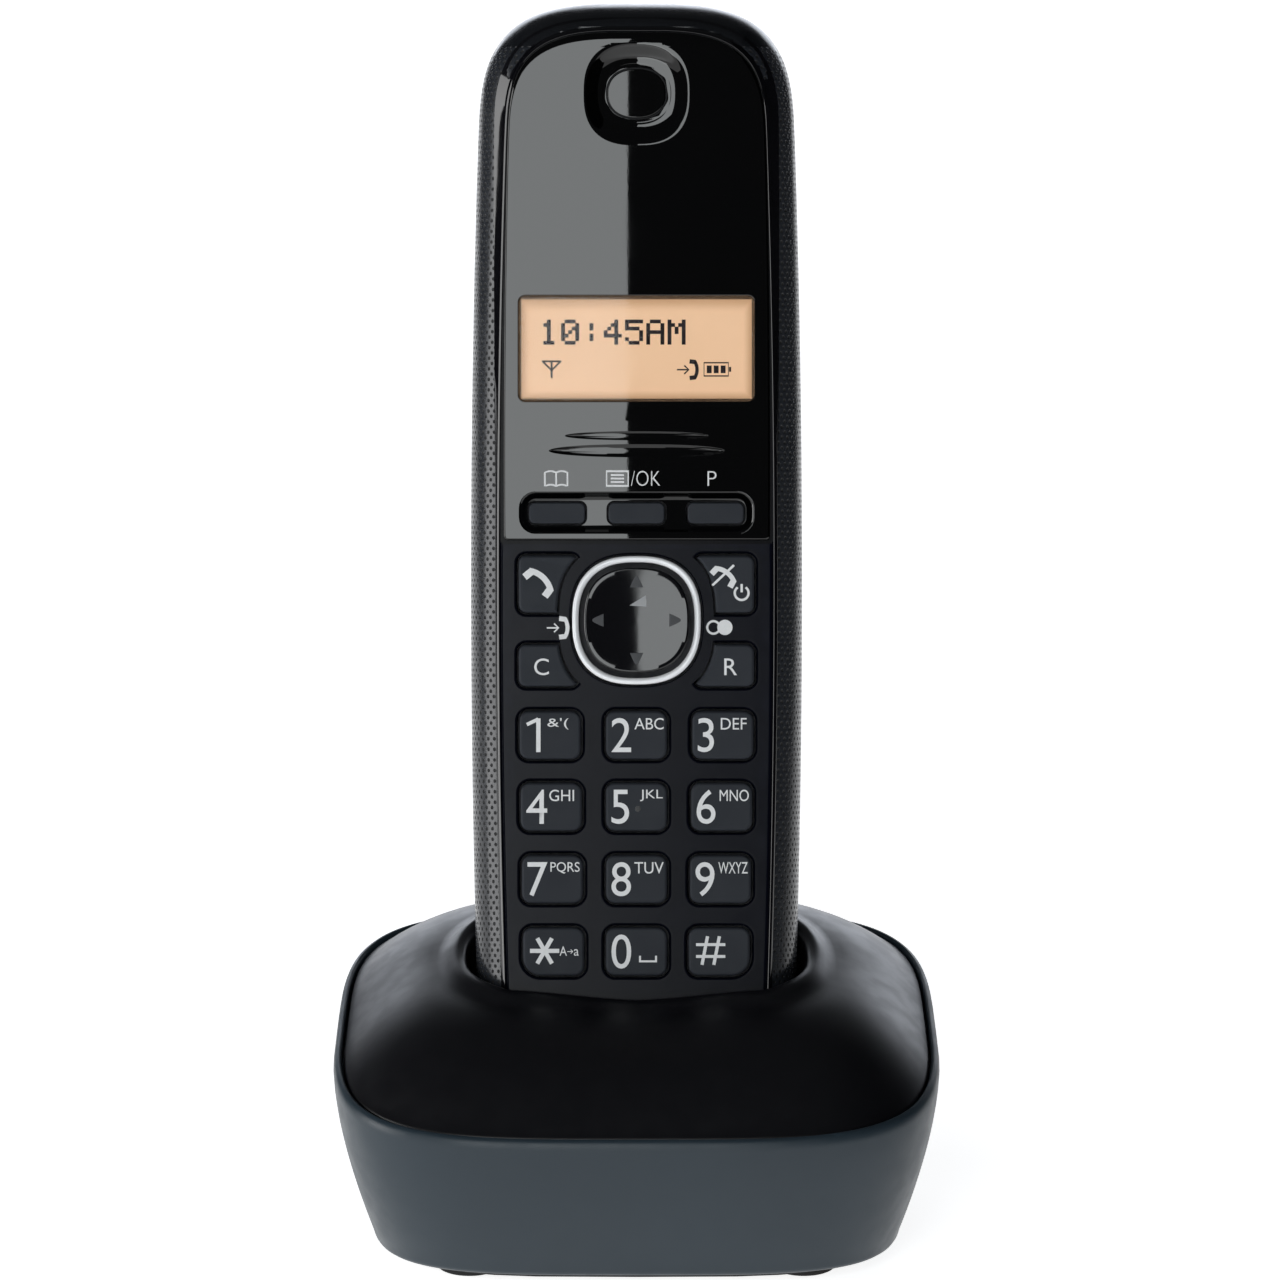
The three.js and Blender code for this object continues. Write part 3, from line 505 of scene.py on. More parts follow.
def make_materials():
    return {
        "base_grey": satin("base_slate", (0.017, 0.028, 0.038), 0.42),
        "base_black": satin("base_satin_black", (0.0045, 0.0045, 0.006), 0.36, 0.002, 5200),
        "plate": satin("plate_black", (0.014, 0.016, 0.018), 0.55, 0.02, 2600),
        "rubber_foot": satin("foot_rubber", (0.015, 0.015, 0.015), 0.85, 0.02, 1800, 0.3),
        "board": board_green(),
        "steel": metal("bare_steel", (0.55, 0.56, 0.57), 0.35, (1, 8, 1)),
        "contact_metal": metal("contact_nickel", (0.75, 0.72, 0.62), 0.22, (1, 6, 1)),
        "jack_plastic": satin("jack_black", (0.012, 0.012, 0.012), 0.45),
        "case_texture": dimpled_plastic("case_dimpled", (0.016, 0.018, 0.022)),
        "face_satin": satin("deck_satin", (0.0025, 0.003, 0.0062), 0.16, 0.0006, 5200, 0.09),
        "panel_gloss": gloss("panel_black", (0.0007, 0.0007, 0.0008)),
        "window": clear_window(),
        "display": lcd_glow(),
        "key_plastic": satin("key_charcoal", (0.022, 0.025, 0.031), 0.5, 0.003, 5200, 0.12),
        "nav_silver": silver_paint(),
        "nav_gloss": gloss("nav_black", (0.003, 0.003, 0.004), 0.03),
        "rubber_mat": satin("mat_rubber", (0.12, 0.12, 0.13), 0.7, 0.01, 2600, 0.3),
        "speaker": metal("speaker_steel", (0.3, 0.31, 0.32), 0.4),
        "cell_jacket": satin("cell_sleeve", (0.05, 0.13, 0.09), 0.3, 0.004, 2000),
        "ink": legend_ink("legend_grey", (0.72, 0.73, 0.74)),
        "lcd_ink": legend_ink("lcd_dark", (0.012, 0.007, 0.012)),
        "bead": gloss("bead_black", (0.003, 0.003, 0.004), 0.05),
        "arrow": satin("arrow_grey", (0.05, 0.052, 0.056), 0.5, 0.003, 5200, 0.2),
        "wedge": satin("wedge_grey", (0.26, 0.27, 0.28), 0.4, 0.003, 5200, 0.3),
    }


# --- meshes ---


def loft(rings, hoop=False):
    """A skin through rings of equally many points, closed by flat ends or into a hoop"""
    size = len(rings[0])
    points = [point for ring in rings for point in ring]
    faces = []
    for band in range(len(rings) if hoop else len(rings) - 1):
        low, high = band * size, (band + 1) % len(rings) * size
        faces += [(low + i, low + (i + 1) % size, high + (i + 1) % size, high + i) for i in range(size)]
    if not hoop:
        faces.append(tuple(reversed(range(size))))
        faces.append(tuple(range(len(points) - size, len(points))))
    return points, faces


def together(*shapes):
    points, faces = [], []
    for more_points, more_faces in shapes:
        start = len(points)
        points += more_points
        faces += [tuple(start + i for i in face) for face in more_faces]
    return points, faces


def prism(outline, *levels):
    return loft([lift(outline, z) for z in levels])


def rectangle(x, y):
    return [(x[0], y[0]), (x[1], y[0]), (x[1], y[1]), (x[0], y[1])]


def block(x, y, z):
    return prism(rectangle(x, y), *z)


def solid(name, shape, place=HANDSET):
    points, faces = shape
    mesh = bpy.data.meshes.new(name)
    mesh.from_pydata([tuple(c * MM for c in point) for point in points], [], faces)
    mesh.update()
    piece = stand(name, mesh)
    piece.matrix_world = place
    return piece


def finished_mesh(piece):
    """A piece's shape with its modifiers, or its letters, made into a mesh"""
    bpy.context.view_layer.update()
    graph = bpy.context.evaluated_depsgraph_get()
    return bpy.data.meshes.new_from_object(piece.evaluated_get(graph))


def carve(piece, *cutters, operation="DIFFERENCE"):
    for cutter in cutters:
        change = piece.modifiers.new("carve", "BOOLEAN")
        change.operation = operation
        change.solver = "EXACT"
        change.object = cutter
    mesh = finished_mesh(piece)
    piece.modifiers.clear()
    piece.data = mesh
    for cutter in cutters:
        bpy.data.objects.remove(cutter)


def cutter(shape, place=HANDSET):
    return solid("cutter", shape, place)


def dress(piece, body, slot, material=None, replaces=(), crease=32):
    """Gives a finished piece its finish, its smooth shading and the body it rides on"""
    piece.data.materials.clear()
    piece.data.materials.append(MATERIALS[material or slot])
    piece.data.shade_smooth()
    piece.data.set_sharp_from_angle(angle=radians(crease))
    piece.data.transform(piece.matrix_world)
    piece.matrix_world = Matrix.Identity(4)
    piece.modifiers.new("flat faces lead the shading", "WEIGHTED_NORMAL").keep_sharp = True
    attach(piece, body)
    if replaces:
        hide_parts(*replaces)


# --- outlines ---


def spow(value, power):
    return copysign(abs(value) ** power, value)


def rounded(x, y, size, radius, inset=0.0, steps=6, corners=None):
    """Outline of a rectangle with round corners, drawn in by inset, anticlockwise from its right side"""
    points = []
    half = (size[0] / 2 - inset, size[1] / 2 - inset)
    for corner in range(4):
        r = max(0.05, (corners or (radius,) * 4)[corner] - inset)
        side = (1 if corner in (0, 3) else -1, 1 if corner < 2 else -1)
        for i in range(steps + 1):
            angle = (corner + i / steps) * pi / 2
            points.append((x + side[0] * (half[0] - r) + r * cos(angle),
                           y + side[1] * (half[1] - r) + r * sin(angle)))
    return points


def squircle(x, y, half, power, inset=0.0, count=72):
    points = []
    for i in range(count):
        angle = i * 2 * pi / count
        points.append((x + (half[0] - inset) * spow(cos(angle), 2 / power),
                       y + (half[1] - inset) * spow(sin(angle), 2 / power)))
    return points


def lift(outline, z):
    return [(x, y, z) for x, y in outline]


def roll(steps=5):
    """The cosine and sine of even steps through a quarter turn"""
    return [(cos(k / steps * pi / 2), sin(k / steps * pi / 2)) for k in range(steps + 1)]


def cap(outline, low, high, edge, steps=5, crown=()):
    """A solid whose outline(inset) rises from low to high and rolls over its upper edge"""
    rings = [lift(outline(0), low)]
    rings += [lift(outline(edge * (1 - c)), high - edge * (1 - s)) for c, s in roll(steps)]
    rings += [lift(outline(inset), z) for inset, z in crown]
    return loft(rings)


def well(outline, profile):
    """A cutter that opens upwards through (inset, z) steps and clears the surface above"""
    inset, top = profile[-1]
    return loft([lift(outline(inset), z) for inset, z in (*profile, (inset, top + 1.0))])


def eased_hole(outline, top, edge=0.45, gap=GAP):
    """A cutter for a hole with clearance round its key and a rolled upper edge"""
    profile = [(-gap - edge * (1 - c), top - edge + (edge + OVER) * s) for c, s in roll()]
    return well(outline, [(-gap, HOLE_LOW), *profile])


# --- the handset's form ---


def end_factor(y, grow, top, bottom, power):
    above = max(0.0, y - (LENGTH - top)) / (top + grow)
    below = max(0.0, bottom - y) / (bottom + grow)
    return max(0.0, 1 - max(above, below) ** power) ** (1 / power)


def side_line(y):
    """Half the handset's width before its ends turn in"""
    return HALF_WIDTH - SIDE_BOW * (y - WIDEST_Y) ** 2


def half_width(y, grow):
    return (side_line(y) + grow) * end_factor(y, grow, TOP_BEND, BOTTOM_BEND, END_POWER)


def bend_steps(count=22, steepest=85):
    """Shares of an end's length, close together where it turns over"""
    angles = [radians(steepest * (k + 1) / count) for k in range(count)]
    return [sin(a) ** (2 / END_POWER) for a in angles]


def stations(grow, count=24):
    low = [BOTTOM_BEND - (BOTTOM_BEND + grow) * s for s in reversed(bend_steps())]
    middle = [BOTTOM_BEND + (LENGTH - TOP_BEND - BOTTOM_BEND) * k / count for k in range(count + 1)]
    high = [LENGTH - TOP_BEND + (TOP_BEND + grow) * s for s in bend_steps()]
    return low + middle + high


def handset_point(turn, y, grow, face):
    """A point of the section at y. Turn 0 faces front, and a quarter turn is at +x."""
    drop = end_factor(y, grow, TOP_DROP, BOTTOM_DROP, DROP_POWER)
    out = cos(turn)
    power = FRONT_POWER if out > 0 else BACK_POWER
    back = BACK_DEPTH - BACK_TAPER * max(0, BACK_TAPER_Y - y) ** 2
    depth = ((FRONT_DEPTH if out > 0 else back) + grow) * drop
    x = half_width(y, grow) * spow(sin(turn), 2 / power)
    return x, y, min(face, depth * spow(out, 2 / power))


def handset_form(grow, face=CLEAR):
    return loft([[handset_point(turn, y, grow, face) for turn in TURNS] for y in stations(grow)])


def both_sides(right):
    return right + [(-x, y) for x, y in reversed(right)]


def face_outline(inset):
    return both_sides([(half_width(y, -inset), y) for y in stations(-inset)])


def edge_outline(inset):
    """The face's outline, drawn in by an inset that changes along its length"""
    right = []
    for y in stations(0):
        pull = inset(y)
        bend = min(max(y, BOTTOM_BEND), LENGTH - TOP_BEND)
        shrink = 1 - pull / (TOP_BEND if y > bend else BOTTOM_BEND)
        place = bend + (y - bend) * shrink
        right.append((half_width(place, -pull), place))
    return both_sides(right)


def panel_outline(side_inset, end_inset, low_inset):
    """The gloss panel's outline: the face's upper end over a straight lower edge"""
    low, corner, bend = PANEL_LOW + low_inset, PANEL_CORNER, LENGTH - TOP_BEND
    rise = [low + corner + (bend - low - corner) * k / 14 for k in range(15)]
    over = [bend + (TOP_BEND - end_inset) * s for s in bend_steps(20, 90)]
    wide = half_width(low + corner, -side_inset) + panel_spread(low)
    right = [(wide - corner * (1 - s), low + corner * (1 - c)) for c, s in roll()[:-1]]
    for y in rise + over:
        side = side_line(y) - side_inset + panel_spread(y)
        right.append((side * end_factor(y, -end_inset, TOP_BEND, BOTTOM_BEND, END_POWER), y))
    return right + [(-x, y) for x, y in reversed(right[:-1])]


def panel_spread(y):
    """The panel comes nearer to the bead towards its top"""
    return 0.5 * min(1.0, max(0.0, (y - PANEL_LOW) / 55))


def wrap_length(samples=180):
    """Arc lengths round half the widest section, from the middle of the face to the middle of the back"""
    lengths, last, total = [], None, 0.0
    for k in range(samples + 1):
        x, _, z = handset_point(pi * k / samples, WIDEST_Y, 0, 99)
        total += 0 if last is None else hypot(x - last[0], z - last[1])
        last = (x, z)
        lengths.append(total)
    return lengths


def mark_around(piece):
    """Stores how far round the section each point lies, which the dimples follow"""
    lengths = wrap_length()
    attribute = piece.data.attributes.new("around", "FLOAT", "POINT")
    for vertex, slot in zip(piece.data.vertices, attribute.data):
        x, y, z = (c / MM for c in vertex.co)
        power = FRONT_POWER if z > 0 else BACK_POWER
        depth = FRONT_DEPTH if z > 0 else BACK_DEPTH
        width = max(1.0, half_width(min(max(y, 1), LENGTH - 1), 0))
        turn = atan2((abs(x) / width) ** (power / 2), spow(z / depth, power / 2))
        place = min(turn / pi, 1.0) * (len(lengths) - 1)
        low = min(int(place), len(lengths) - 2)
        slot.value = lengths[low] + (lengths[low + 1] - lengths[low]) * (place - low)


# --- handset mouldings ---


def cover_block(grow):
    """The block the battery cover slides out of, with its low end scarfed along the slide"""
    run = tan(pi / 2 - COVER["slant"])
    low = COVER["low"] - grow / sin(COVER["slant"])
    outline = [(low + (z - COVER["hinge"]) * run, z) for z in (-20, -7)]
    outline += [(COVER["high"] + grow, -7), (COVER["high"] + grow, -20)]
    half = COVER["half"] + grow
    return loft([[(x, y, z) for y, z in outline] for x in (half, -half)])


def rear_case():
    case = solid("rear_case_shell", handset_form(-0.03, CASE_EDGE))
    cavity = cutter(handset_form(-SHELL))
    edge = COVER["half"] + BAY["wall"]
    walls = block((-edge, edge), (COVER["low"] - 6, COVER["high"] + 2), (-30, BAY["top"] + BAY["wall"]))
    carve(cavity, cutter(walls))
    bed = cutter(handset_form(2))
    carve(bed, cutter(handset_form(-COVER["thickness"] - GAP)))
    carve(bed, cutter(cover_block(GAP)), operation="INTERSECT")
    bay = block((-BAY["half"], BAY["half"]), (BAY["low"], BAY["high"]), (-CLEAR, BAY["top"]))
    face = prism(face_outline(FACE_INSET - GAP / 2), FACE_BACK - GAP, CLEAR)
    carve(case, cavity, cutter(face), bed, cutter(bay), cutter(small_openings()))
    mark_around(case)
    dress(case, "handset", "case_texture", replaces=("rear_case",), crease=28)


def contact_openings(y):
    """Blocks that open the way to the two charging contacts"""
    wide = CONTACT["half"] + GAP
    z = (CONTACT["z"][0] - GAP, CONTACT["z"][1] + GAP)
    return [block((x - wide, x + wide), y, z) for x in (-CONTACT["x"], CONTACT["x"])]


def small_openings():
    """Ringer slots, contact windows and screw wells"""
    shapes = contact_openings((-2, 3.2))
    for i in range(-2, 3):
        size = (RINGER["size"][0] - RINGER["taper"] * abs(i), RINGER["size"][1])
        slot = rounded(0, RINGER["y"] + RINGER["pitch"] * i, size, RINGER["radius"])
        shapes.append(prism(slot, -CLEAR, -8))
    wells = ((SCREW["head"], -CLEAR, SCREW["seat"]), (SCREW["shank"], SCREW["seat"] - 0.5, 3))
    for x in (-SCREW["x"], SCREW["x"]):
        for radius, low, high in wells:
            ring = squircle(x, SCREW["y"], (radius + GAP, radius + GAP), 2, count=32)
            shapes.append(prism(ring, low, high))
    return together(*shapes)


def battery_cover():
    cover = solid("battery_cover_shell", handset_form(0, CASE_EDGE))
    carve(cover, cutter(handset_form(-COVER["thickness"])))
    carve(cover, cutter(cover_block(0)), operation="INTERSECT")
    ribs = []
    for k in range(4):
        size = (THUMB_RIBS["size"][0] - THUMB_RIBS["taper"] * k, THUMB_RIBS["size"][1])
        rib = rounded(0, THUMB_RIBS["y"] + THUMB_RIBS["pitch"] * k, size, 0.34)
        ribs.append(prism(rib, -CLEAR, THUMB_RIBS["floor"]))
    carve(cover, cutter(together(*ribs)))
    mark_around(cover)
    dress(cover, "battery_cover", "case_texture", replaces=("battery_cover",), crease=28)


def dial_outline(row, column):
    x = (column - 1) * (DIAL_COLUMN[0] + (DIAL_COLUMN[1] - DIAL_COLUMN[0]) * row / 3)
    corners = [DIAL_RADIUS] * 4
    if row == 3 and column != 1:
        corners[2 if column == 0 else 3] = DIAL_LOW_CORNER
    return x, lambda inset: rounded(x, DIAL_ROWS[row], DIAL_SIZE, DIAL_RADIUS, inset, 8, corners)


def soft_outline(column):
    x = (column - 1) * SOFT_PITCH
    return lambda inset: rounded(x, **SOFT_KEY, inset=inset)


def soft_wells(low):
    """Cutters for the soft keys' holes, from a level upwards"""
    return [well(soft_outline(column), [(-GAP, low), (-GAP, 9)]) for column in range(3)]


def corner_outline(side, low, high):
    middle = side * sum(CORNER_KEY_X) / 2
    size = (CORNER_KEY_X[1] - CORNER_KEY_X[0], high - low)
    return lambda inset: rounded(middle, (low + high) / 2, size, 1.1, inset, 8)


def nav_outline(half, power=NAV["power"]):
    return lambda inset: squircle(0, NAV["y"], (half, half), power, inset, 96)


def case_level(x, y):
    """How far out the rear case's skin is at a place on the front"""
    drop = end_factor(y, 0, TOP_DROP, BOTTOM_DROP, DROP_POWER)
    share = min(1.0, abs(x) / max(0.1, half_width(y, 0)))
    return min(CASE_EDGE, FRONT_DEPTH * drop * (1 - share ** FRONT_POWER) ** (1 / FRONT_POWER))


def bead_flank(y):
    """How far in from the face's outline the bead's flank starts, less towards the top"""
    return 3.55 - 1.35 * min(1.0, max(0.0, (y - 85) / 60)) ** 1.3


def face_bead():
    """The black rim of the front case: a flank that rises to a fine rolled bead"""
    outer = edge_outline(bead_flank)
    rings = [[(x, y, case_level(x, y) + rise) for x, y in outer] for rise in (-0.5, 0.1)]
    bead = [(3.6, 8.75), (3.66, 8.98), (3.85, 9.2), (4.03, 9.38), (4.1, 9.42), (4.17, 9.38), (4.2, 9.2)]
    bead += [(4.22, 8.9), (4.22, 7.4)]
    rings += [lift(edge_outline(lambda y, inset=inset: inset), z) for inset, z in bead]
    rings.append(lift(edge_outline(lambda y: bead_flank(y) + 0.3), 7.4))
    dress(solid("face_bead", loft(rings, True)), "handset", "face_satin", "bead")


def front_case():
    """The keypad deck inside the bead"""
    inner = FACE_INSET
    profile = [(inner, FACE_BACK), (inner, 8.9), (4.25, 9.0), (4.4, 9.16), (4.6, 9.27), (4.8, FACE)]
    deck = solid("keypad_deck", loft([lift(face_outline(inset), z) for inset, z in profile]))
    seat = prism(panel_outline(PANEL_INSET - 0.6, PANEL_INSET - 0.6, -0.55), PANEL_SEAT, CLEAR)
    holes = [prism(rounded(0, **DISPLAY, inset=GAP), HOLE_LOW, CLEAR)]
    holes.append(prism(squircle(0, EARPIECE["y"], SOUND_HOLE, 2), HOLE_LOW, 9, 10))
    holes.append(eased_hole(nav_outline(NAV["ring"]), FACE, 0.25))
    holes += [eased_hole(dial_outline(row, column)[1], FACE) for row in range(4) for column in range(3)]
    holes += soft_wells(HOLE_LOW)
    carve(deck, cutter(together(*holes)), cutter(seat))
    island = nav_outline(MOAT["half"] - GAP, MOAT["power"])(0)
    for side, low, high in CORNER_KEYS.values():
        hole = cutter(eased_hole(corner_outline(side, low, high), FACE))
        carve(hole, cutter(prism(island, HOLE_LOW - 1, CLEAR)))
        carve(deck, hole)
    dress(deck, "handset", "face_satin", replaces=("front_case",), crease=24)


def display_panel():
    """The polished panel: its edge rolls off, most of all at the top"""
    profile = [(4.8, 4.4, 0, 8.2), (4.8, 4.4, 0, 9.3), (4.82, 4.6, 0.03, 9.42), (4.87, 4.95, 0.08, 9.5)]
    profile += [(4.94, 5.4, 0.15, 9.56), (5.03, 5.9, 0.24, 9.59), (5.15, 6.5, 0.35, PANEL_FRONT)]
    panel = solid("gloss_panel", loft([lift(panel_outline(*insets), z) for *insets, z in profile]))
    carve(panel, cutter(earpiece_dish()))
    carve(panel, cutter(together(finger_dips(), soft_recess(), window_hole())))
    carve(panel, cutter(together(prism(squircle(0, **EAR_DISC, inset=-0.25), 7, 12), *soft_wells(7))))
    dress(panel, "handset", "panel_gloss", replaces=("display_panel",), crease=24)


def earpiece_dish():
    """A bowl whose squarish brim closes in to the oval round the pierced disc"""
    steps = [(1, -0.85), (0.94, -0.78), (0.86, -0.76), (0.76, -0.74), (0.62, -0.64), (0.45, -0.44)]
    steps += [(0.28, -0.19), (0.17, -0.065), (0.09, -0.02), (0.03, 0.0), (0, 0.01), (0, 2.01)]
    brim, oval = squircle(0, **EARPIECE), squircle(0, **EAR_DISC, inset=-0.6)
    rings = []
    for share, rise in steps:
        ring = [(a[0] + (b[0] - a[0]) * share, a[1] + (b[1] - a[1]) * share) for a, b in zip(brim, oval)]
        rings.append(lift(ring, PANEL_FRONT + rise))
    return loft(rings)


def finger_dips():
    """Two slim hollows one above the other, where a fingertip finds the soft keys"""
    steps = [(0.96, 1), (0.8, 0.9), (0.6, 0.86), (0.45, 0.8), (0.3, 0.52), (0.12, 0.12), (0.04, 0.02)]
    steps.append((-0.05, -0.02))
    shapes = []
    for y, half, depth in FINGER_DIPS:
        outline = lambda inset, y=y, half=half: squircle(0, y, half, 2.1, inset * half[1])
        shapes.append(well(outline, [(inset, PANEL_FRONT - depth * fall) for inset, fall in steps]))
    return together(*shapes)


def soft_recess():
    steps = [(1.3, -0.9), (1.05, -0.86), (0.8, -0.72), (0.52, -0.46), (0.28, -0.2), (0.1, -0.05)]
    steps.append((-0.05, OVER))
    profile = [(inset, PANEL_FRONT + rise) for inset, rise in steps]
    return well(lambda inset: rounded(0, **SOFT_RECESS, inset=inset), profile)


def window_hole():
    steps = [(0, 7), (0, 9.4), (-0.06, 9.54), (-0.2, 9.61)]
    return well(lambda inset: rounded(0, **DISPLAY, inset=inset), steps)


def earpiece_disc():
    outline = lambda inset: squircle(0, **EAR_DISC, inset=inset)
    disc = solid("earpiece_disc", cap(outline, PANEL_SEAT + GAP, EAR_DISC_TOP, 0.15))
    dress(disc, "handset", "panel_gloss", replaces=("earpiece_grille",), crease=24)


def display():
    outline = lambda inset: rounded(0, **DISPLAY, inset=inset + 0.12)
    window = solid("display_glass", cap(outline, 8.9, 9.42, 0.08, 2))
    dress(window, "handset", "window", replaces=("display_window",))
    inner = lambda inset: rounded(0, **DISPLAY, inset=inset + 0.05)
    module = solid("display_crystal", cap(inner, 4.6, 8.6, 0.05, 2))
    dress(module, "handset", "display", replaces=("display_module",))


def key_cap(name, outline, top=KEY_FRONT, edge=KEY_EDGE, hollow=None):
    key = solid(f"{name}_cap", cap(outline, KEY_BACK, top, edge))
    if hollow:
        carve(key, cutter(hollow))
    dress(key, name, "key_plastic", replaces=(name,))


def dial_keys():
    for row, names in enumerate(DIAL_KEYS):
        for column, (name, digit, letters) in enumerate(names):
            x, outline = dial_outline(row, column)
            key_cap(name, outline)
            left, middle = x - DIGIT["left"], DIAL_ROWS[row]
            foot = middle - DIGIT["drop"]
            if digit == "1":
                stem = [(left + 1.9, foot), (left + 1.9, middle + 2.4)]
                flag = [(left + 0.25, middle + 1.5), (left + 1.9, middle + 2.3)]
                figure(f"{name}_digit", ribbon(stem, 0.62) + ribbon(flag, 0.5), name)
            elif digit:
                lettering(f"{name}_digit", digit, name, left, foot, DIGIT["height"], DIGIT["stretch"])
            if letters:
                start, stretch = LETTERS_PLACE.get(digit, (-0.3, 0.95))
                low = middle + LETTERS["rise"]
                lettering(f"{name}_letters", letters, name, x + start, low, LETTERS["height"], stretch)


def soft_keys():
    for column, side in enumerate(("left", "middle", "right")):
        key_cap(f"soft_key_{side}", soft_outline(column), PANEL_FRONT - 0.05, 0.25)


def corner_keys():
    """The four keys beside the pad, hollowed to follow the island round it"""
    island = eased_hole(nav_outline(**MOAT), KEY_FRONT, gap=0)
    for name, place in CORNER_KEYS.items():
        key_cap(name, corner_outline(*place), hollow=island)


def nav_ring():
    band = NAV["band"]
    section = [(0, 7), (0, 9.75), (0.06, 9.92), (0.2, 10.02), (0.42, 10.05), (band - 0.2, 9.98)]
    section += [(band - 0.05, 9.85), (band, 9.65), (band, 7)]
    outline = nav_outline(NAV["ring"])
    ring = solid("nav_ring_band", loft([lift(outline(inset), z) for inset, z in section], True))
    dress(ring, "handset", "nav_silver", replaces=("nav_ring",))


def nav_pad():
    """The dished pad with its four arrows and the wedge"""
    top, dish = 10.6, 0.42
    dished = [(0.6 + 0.75 * k, top - dish * (1 - (1 - k / 9) ** 2)) for k in range(1, 10)]
    pad = solid("nav_pad_cap", cap(nav_outline(NAV["pad"]), 7.8, top, 0.35, 5, dished))
    dress(pad, "nav_pad", "nav_gloss", replaces=("nav_pad",))
    arrow = [(4.7, -0.95), (6.95, 0), (4.7, 0.95)]
    for k in range(4):
        emboss(f"nav_arrow_{k}", [turned(x, y, k * pi / 2) for x, y in arrow], 10.1, 10.52, "arrow")
    emboss("nav_wedge", [(-1.05, 2.1), (1.45, 1.95), (1.45, 3.7)], 10.0, 10.3, "wedge")


def turned(x, y, angle):
    return x * cos(angle) - y * sin(angle), x * sin(angle) + y * cos(angle)


def emboss(name, outline, low, high, material):
    """A small raised mark on the pad, with rounded shoulders"""
    middle = [sum(c) / len(outline) for c in zip(*outline)]
    rings = []
    for share, z in ((1, low), (1, high - 0.1), (0.94, high - 0.03), (0.84, high)):
        ring = [[m + (c - m) * share for m, c in zip(middle, point)] for point in outline]
        rings.append([(x, y + NAV["y"], z) for x, y in ring])
    dress(solid(name, loft(rings)), "nav_pad", "nav_gloss", material)


# --- printed figures ---


def lettering(name, text, body, x, y, height, stretch=1.0, z=KEY_FRONT, slot="key_plastic", slim=0.0):
    """Printed characters with their lower left corner at x, y, narrowed where they run long"""
    data = bpy.data.curves.new(name, "FONT")
    data.body = text
    data.offset = -slim
    data.resolution_u = 6
    words = stand(name, data)
    mesh = finished_mesh(words)
    bpy.data.objects.remove(words)
    across, along, _ = zip(*(vertex.co for vertex in mesh.vertices))
    left, foot = min(across), min(along)
    scale = height / (max(along) - foot)
    stretch = min(stretch, LETTERS_WIDTH / ((max(across) - left) * scale))
    for vertex in mesh.vertices:
        right, up = (vertex.co.x - left) * scale * stretch, (vertex.co.y - foot) * scale
        vertex.co = Vector((right + x, up + y, z + PRINT)) * MM
    piece = stand(name, mesh)
    piece.matrix_world = HANDSET
    dress(piece, body, slot, "ink")


def ribbon(points, width, closed=False):
    """Quads that follow a line"""
    sides, count = [], len(points)
    for i, (x, y) in enumerate(points):
        before = points[i - 1] if closed or i > 0 else points[i]
        after = points[(i + 1) % count] if closed or i < count - 1 else points[i]
        dx, dy = after[0] - before[0], after[1] - before[1]
        size = hypot(dx, dy) * 2 / width
        sides.append(((x - dy / size, y + dx / size), (x + dy / size, y - dx / size)))
    pairs = [(sides[i], sides[(i + 1) % count]) for i in range(count if closed else count - 1)]
    return [[a[0], a[1], b[1], b[0]] for a, b in pairs]


def arc(x, y, radius, start, end, steps=16):
    angles = [radians(start + (end - start) * k / steps) for k in range(steps + 1)]
    return [(x + radius * cos(a), y + radius * sin(a)) for a in angles]


def figure(name, polygons, body, z=KEY_FRONT, ink="ink", slot="key_plastic"):
    """Printed shapes on a flat surface, with shapes that overlap a hair apart"""
    points, faces = [], []
    for layer, polygon in enumerate(polygons):
        faces.append(tuple(range(len(points), len(points) + len(polygon))))
        points += lift(polygon, z + PRINT + layer % 7 * PRINT_LAYER)
    dress(solid(name, (points, faces)), body, slot, ink)


def receiver(x, y, size, tilt=0):
    """A telephone receiver seen from the side: a bowed grip between two square ends"""
    grip = [turned(px, py, tilt) for px, py in arc(0, -0.62 * size, 0.9 * size, 55, 125)]
    shapes = ribbon(grip, 0.2 * size)
    for side in (-1, 1):
        ends = [(side * 0.44 * size, 0.16 * size), (side * 0.48 * size, -0.15 * size)]
        shapes += ribbon([turned(px, py, tilt) for px, py in ends], 0.25 * size)
    return [[(px + x, py + y) for px, py in shape] for shape in shapes]


def pointer(x, y, size=1.7):
    """An arrow to the right"""
    back, tip = x + size * 0.62, x + size
    head = [(back, y + size * 0.36), (tip, y), (back, y - size * 0.36)]
    return ribbon([(x, y), (tip, y)], 0.13 * size) + ribbon(head, 0.13 * size)


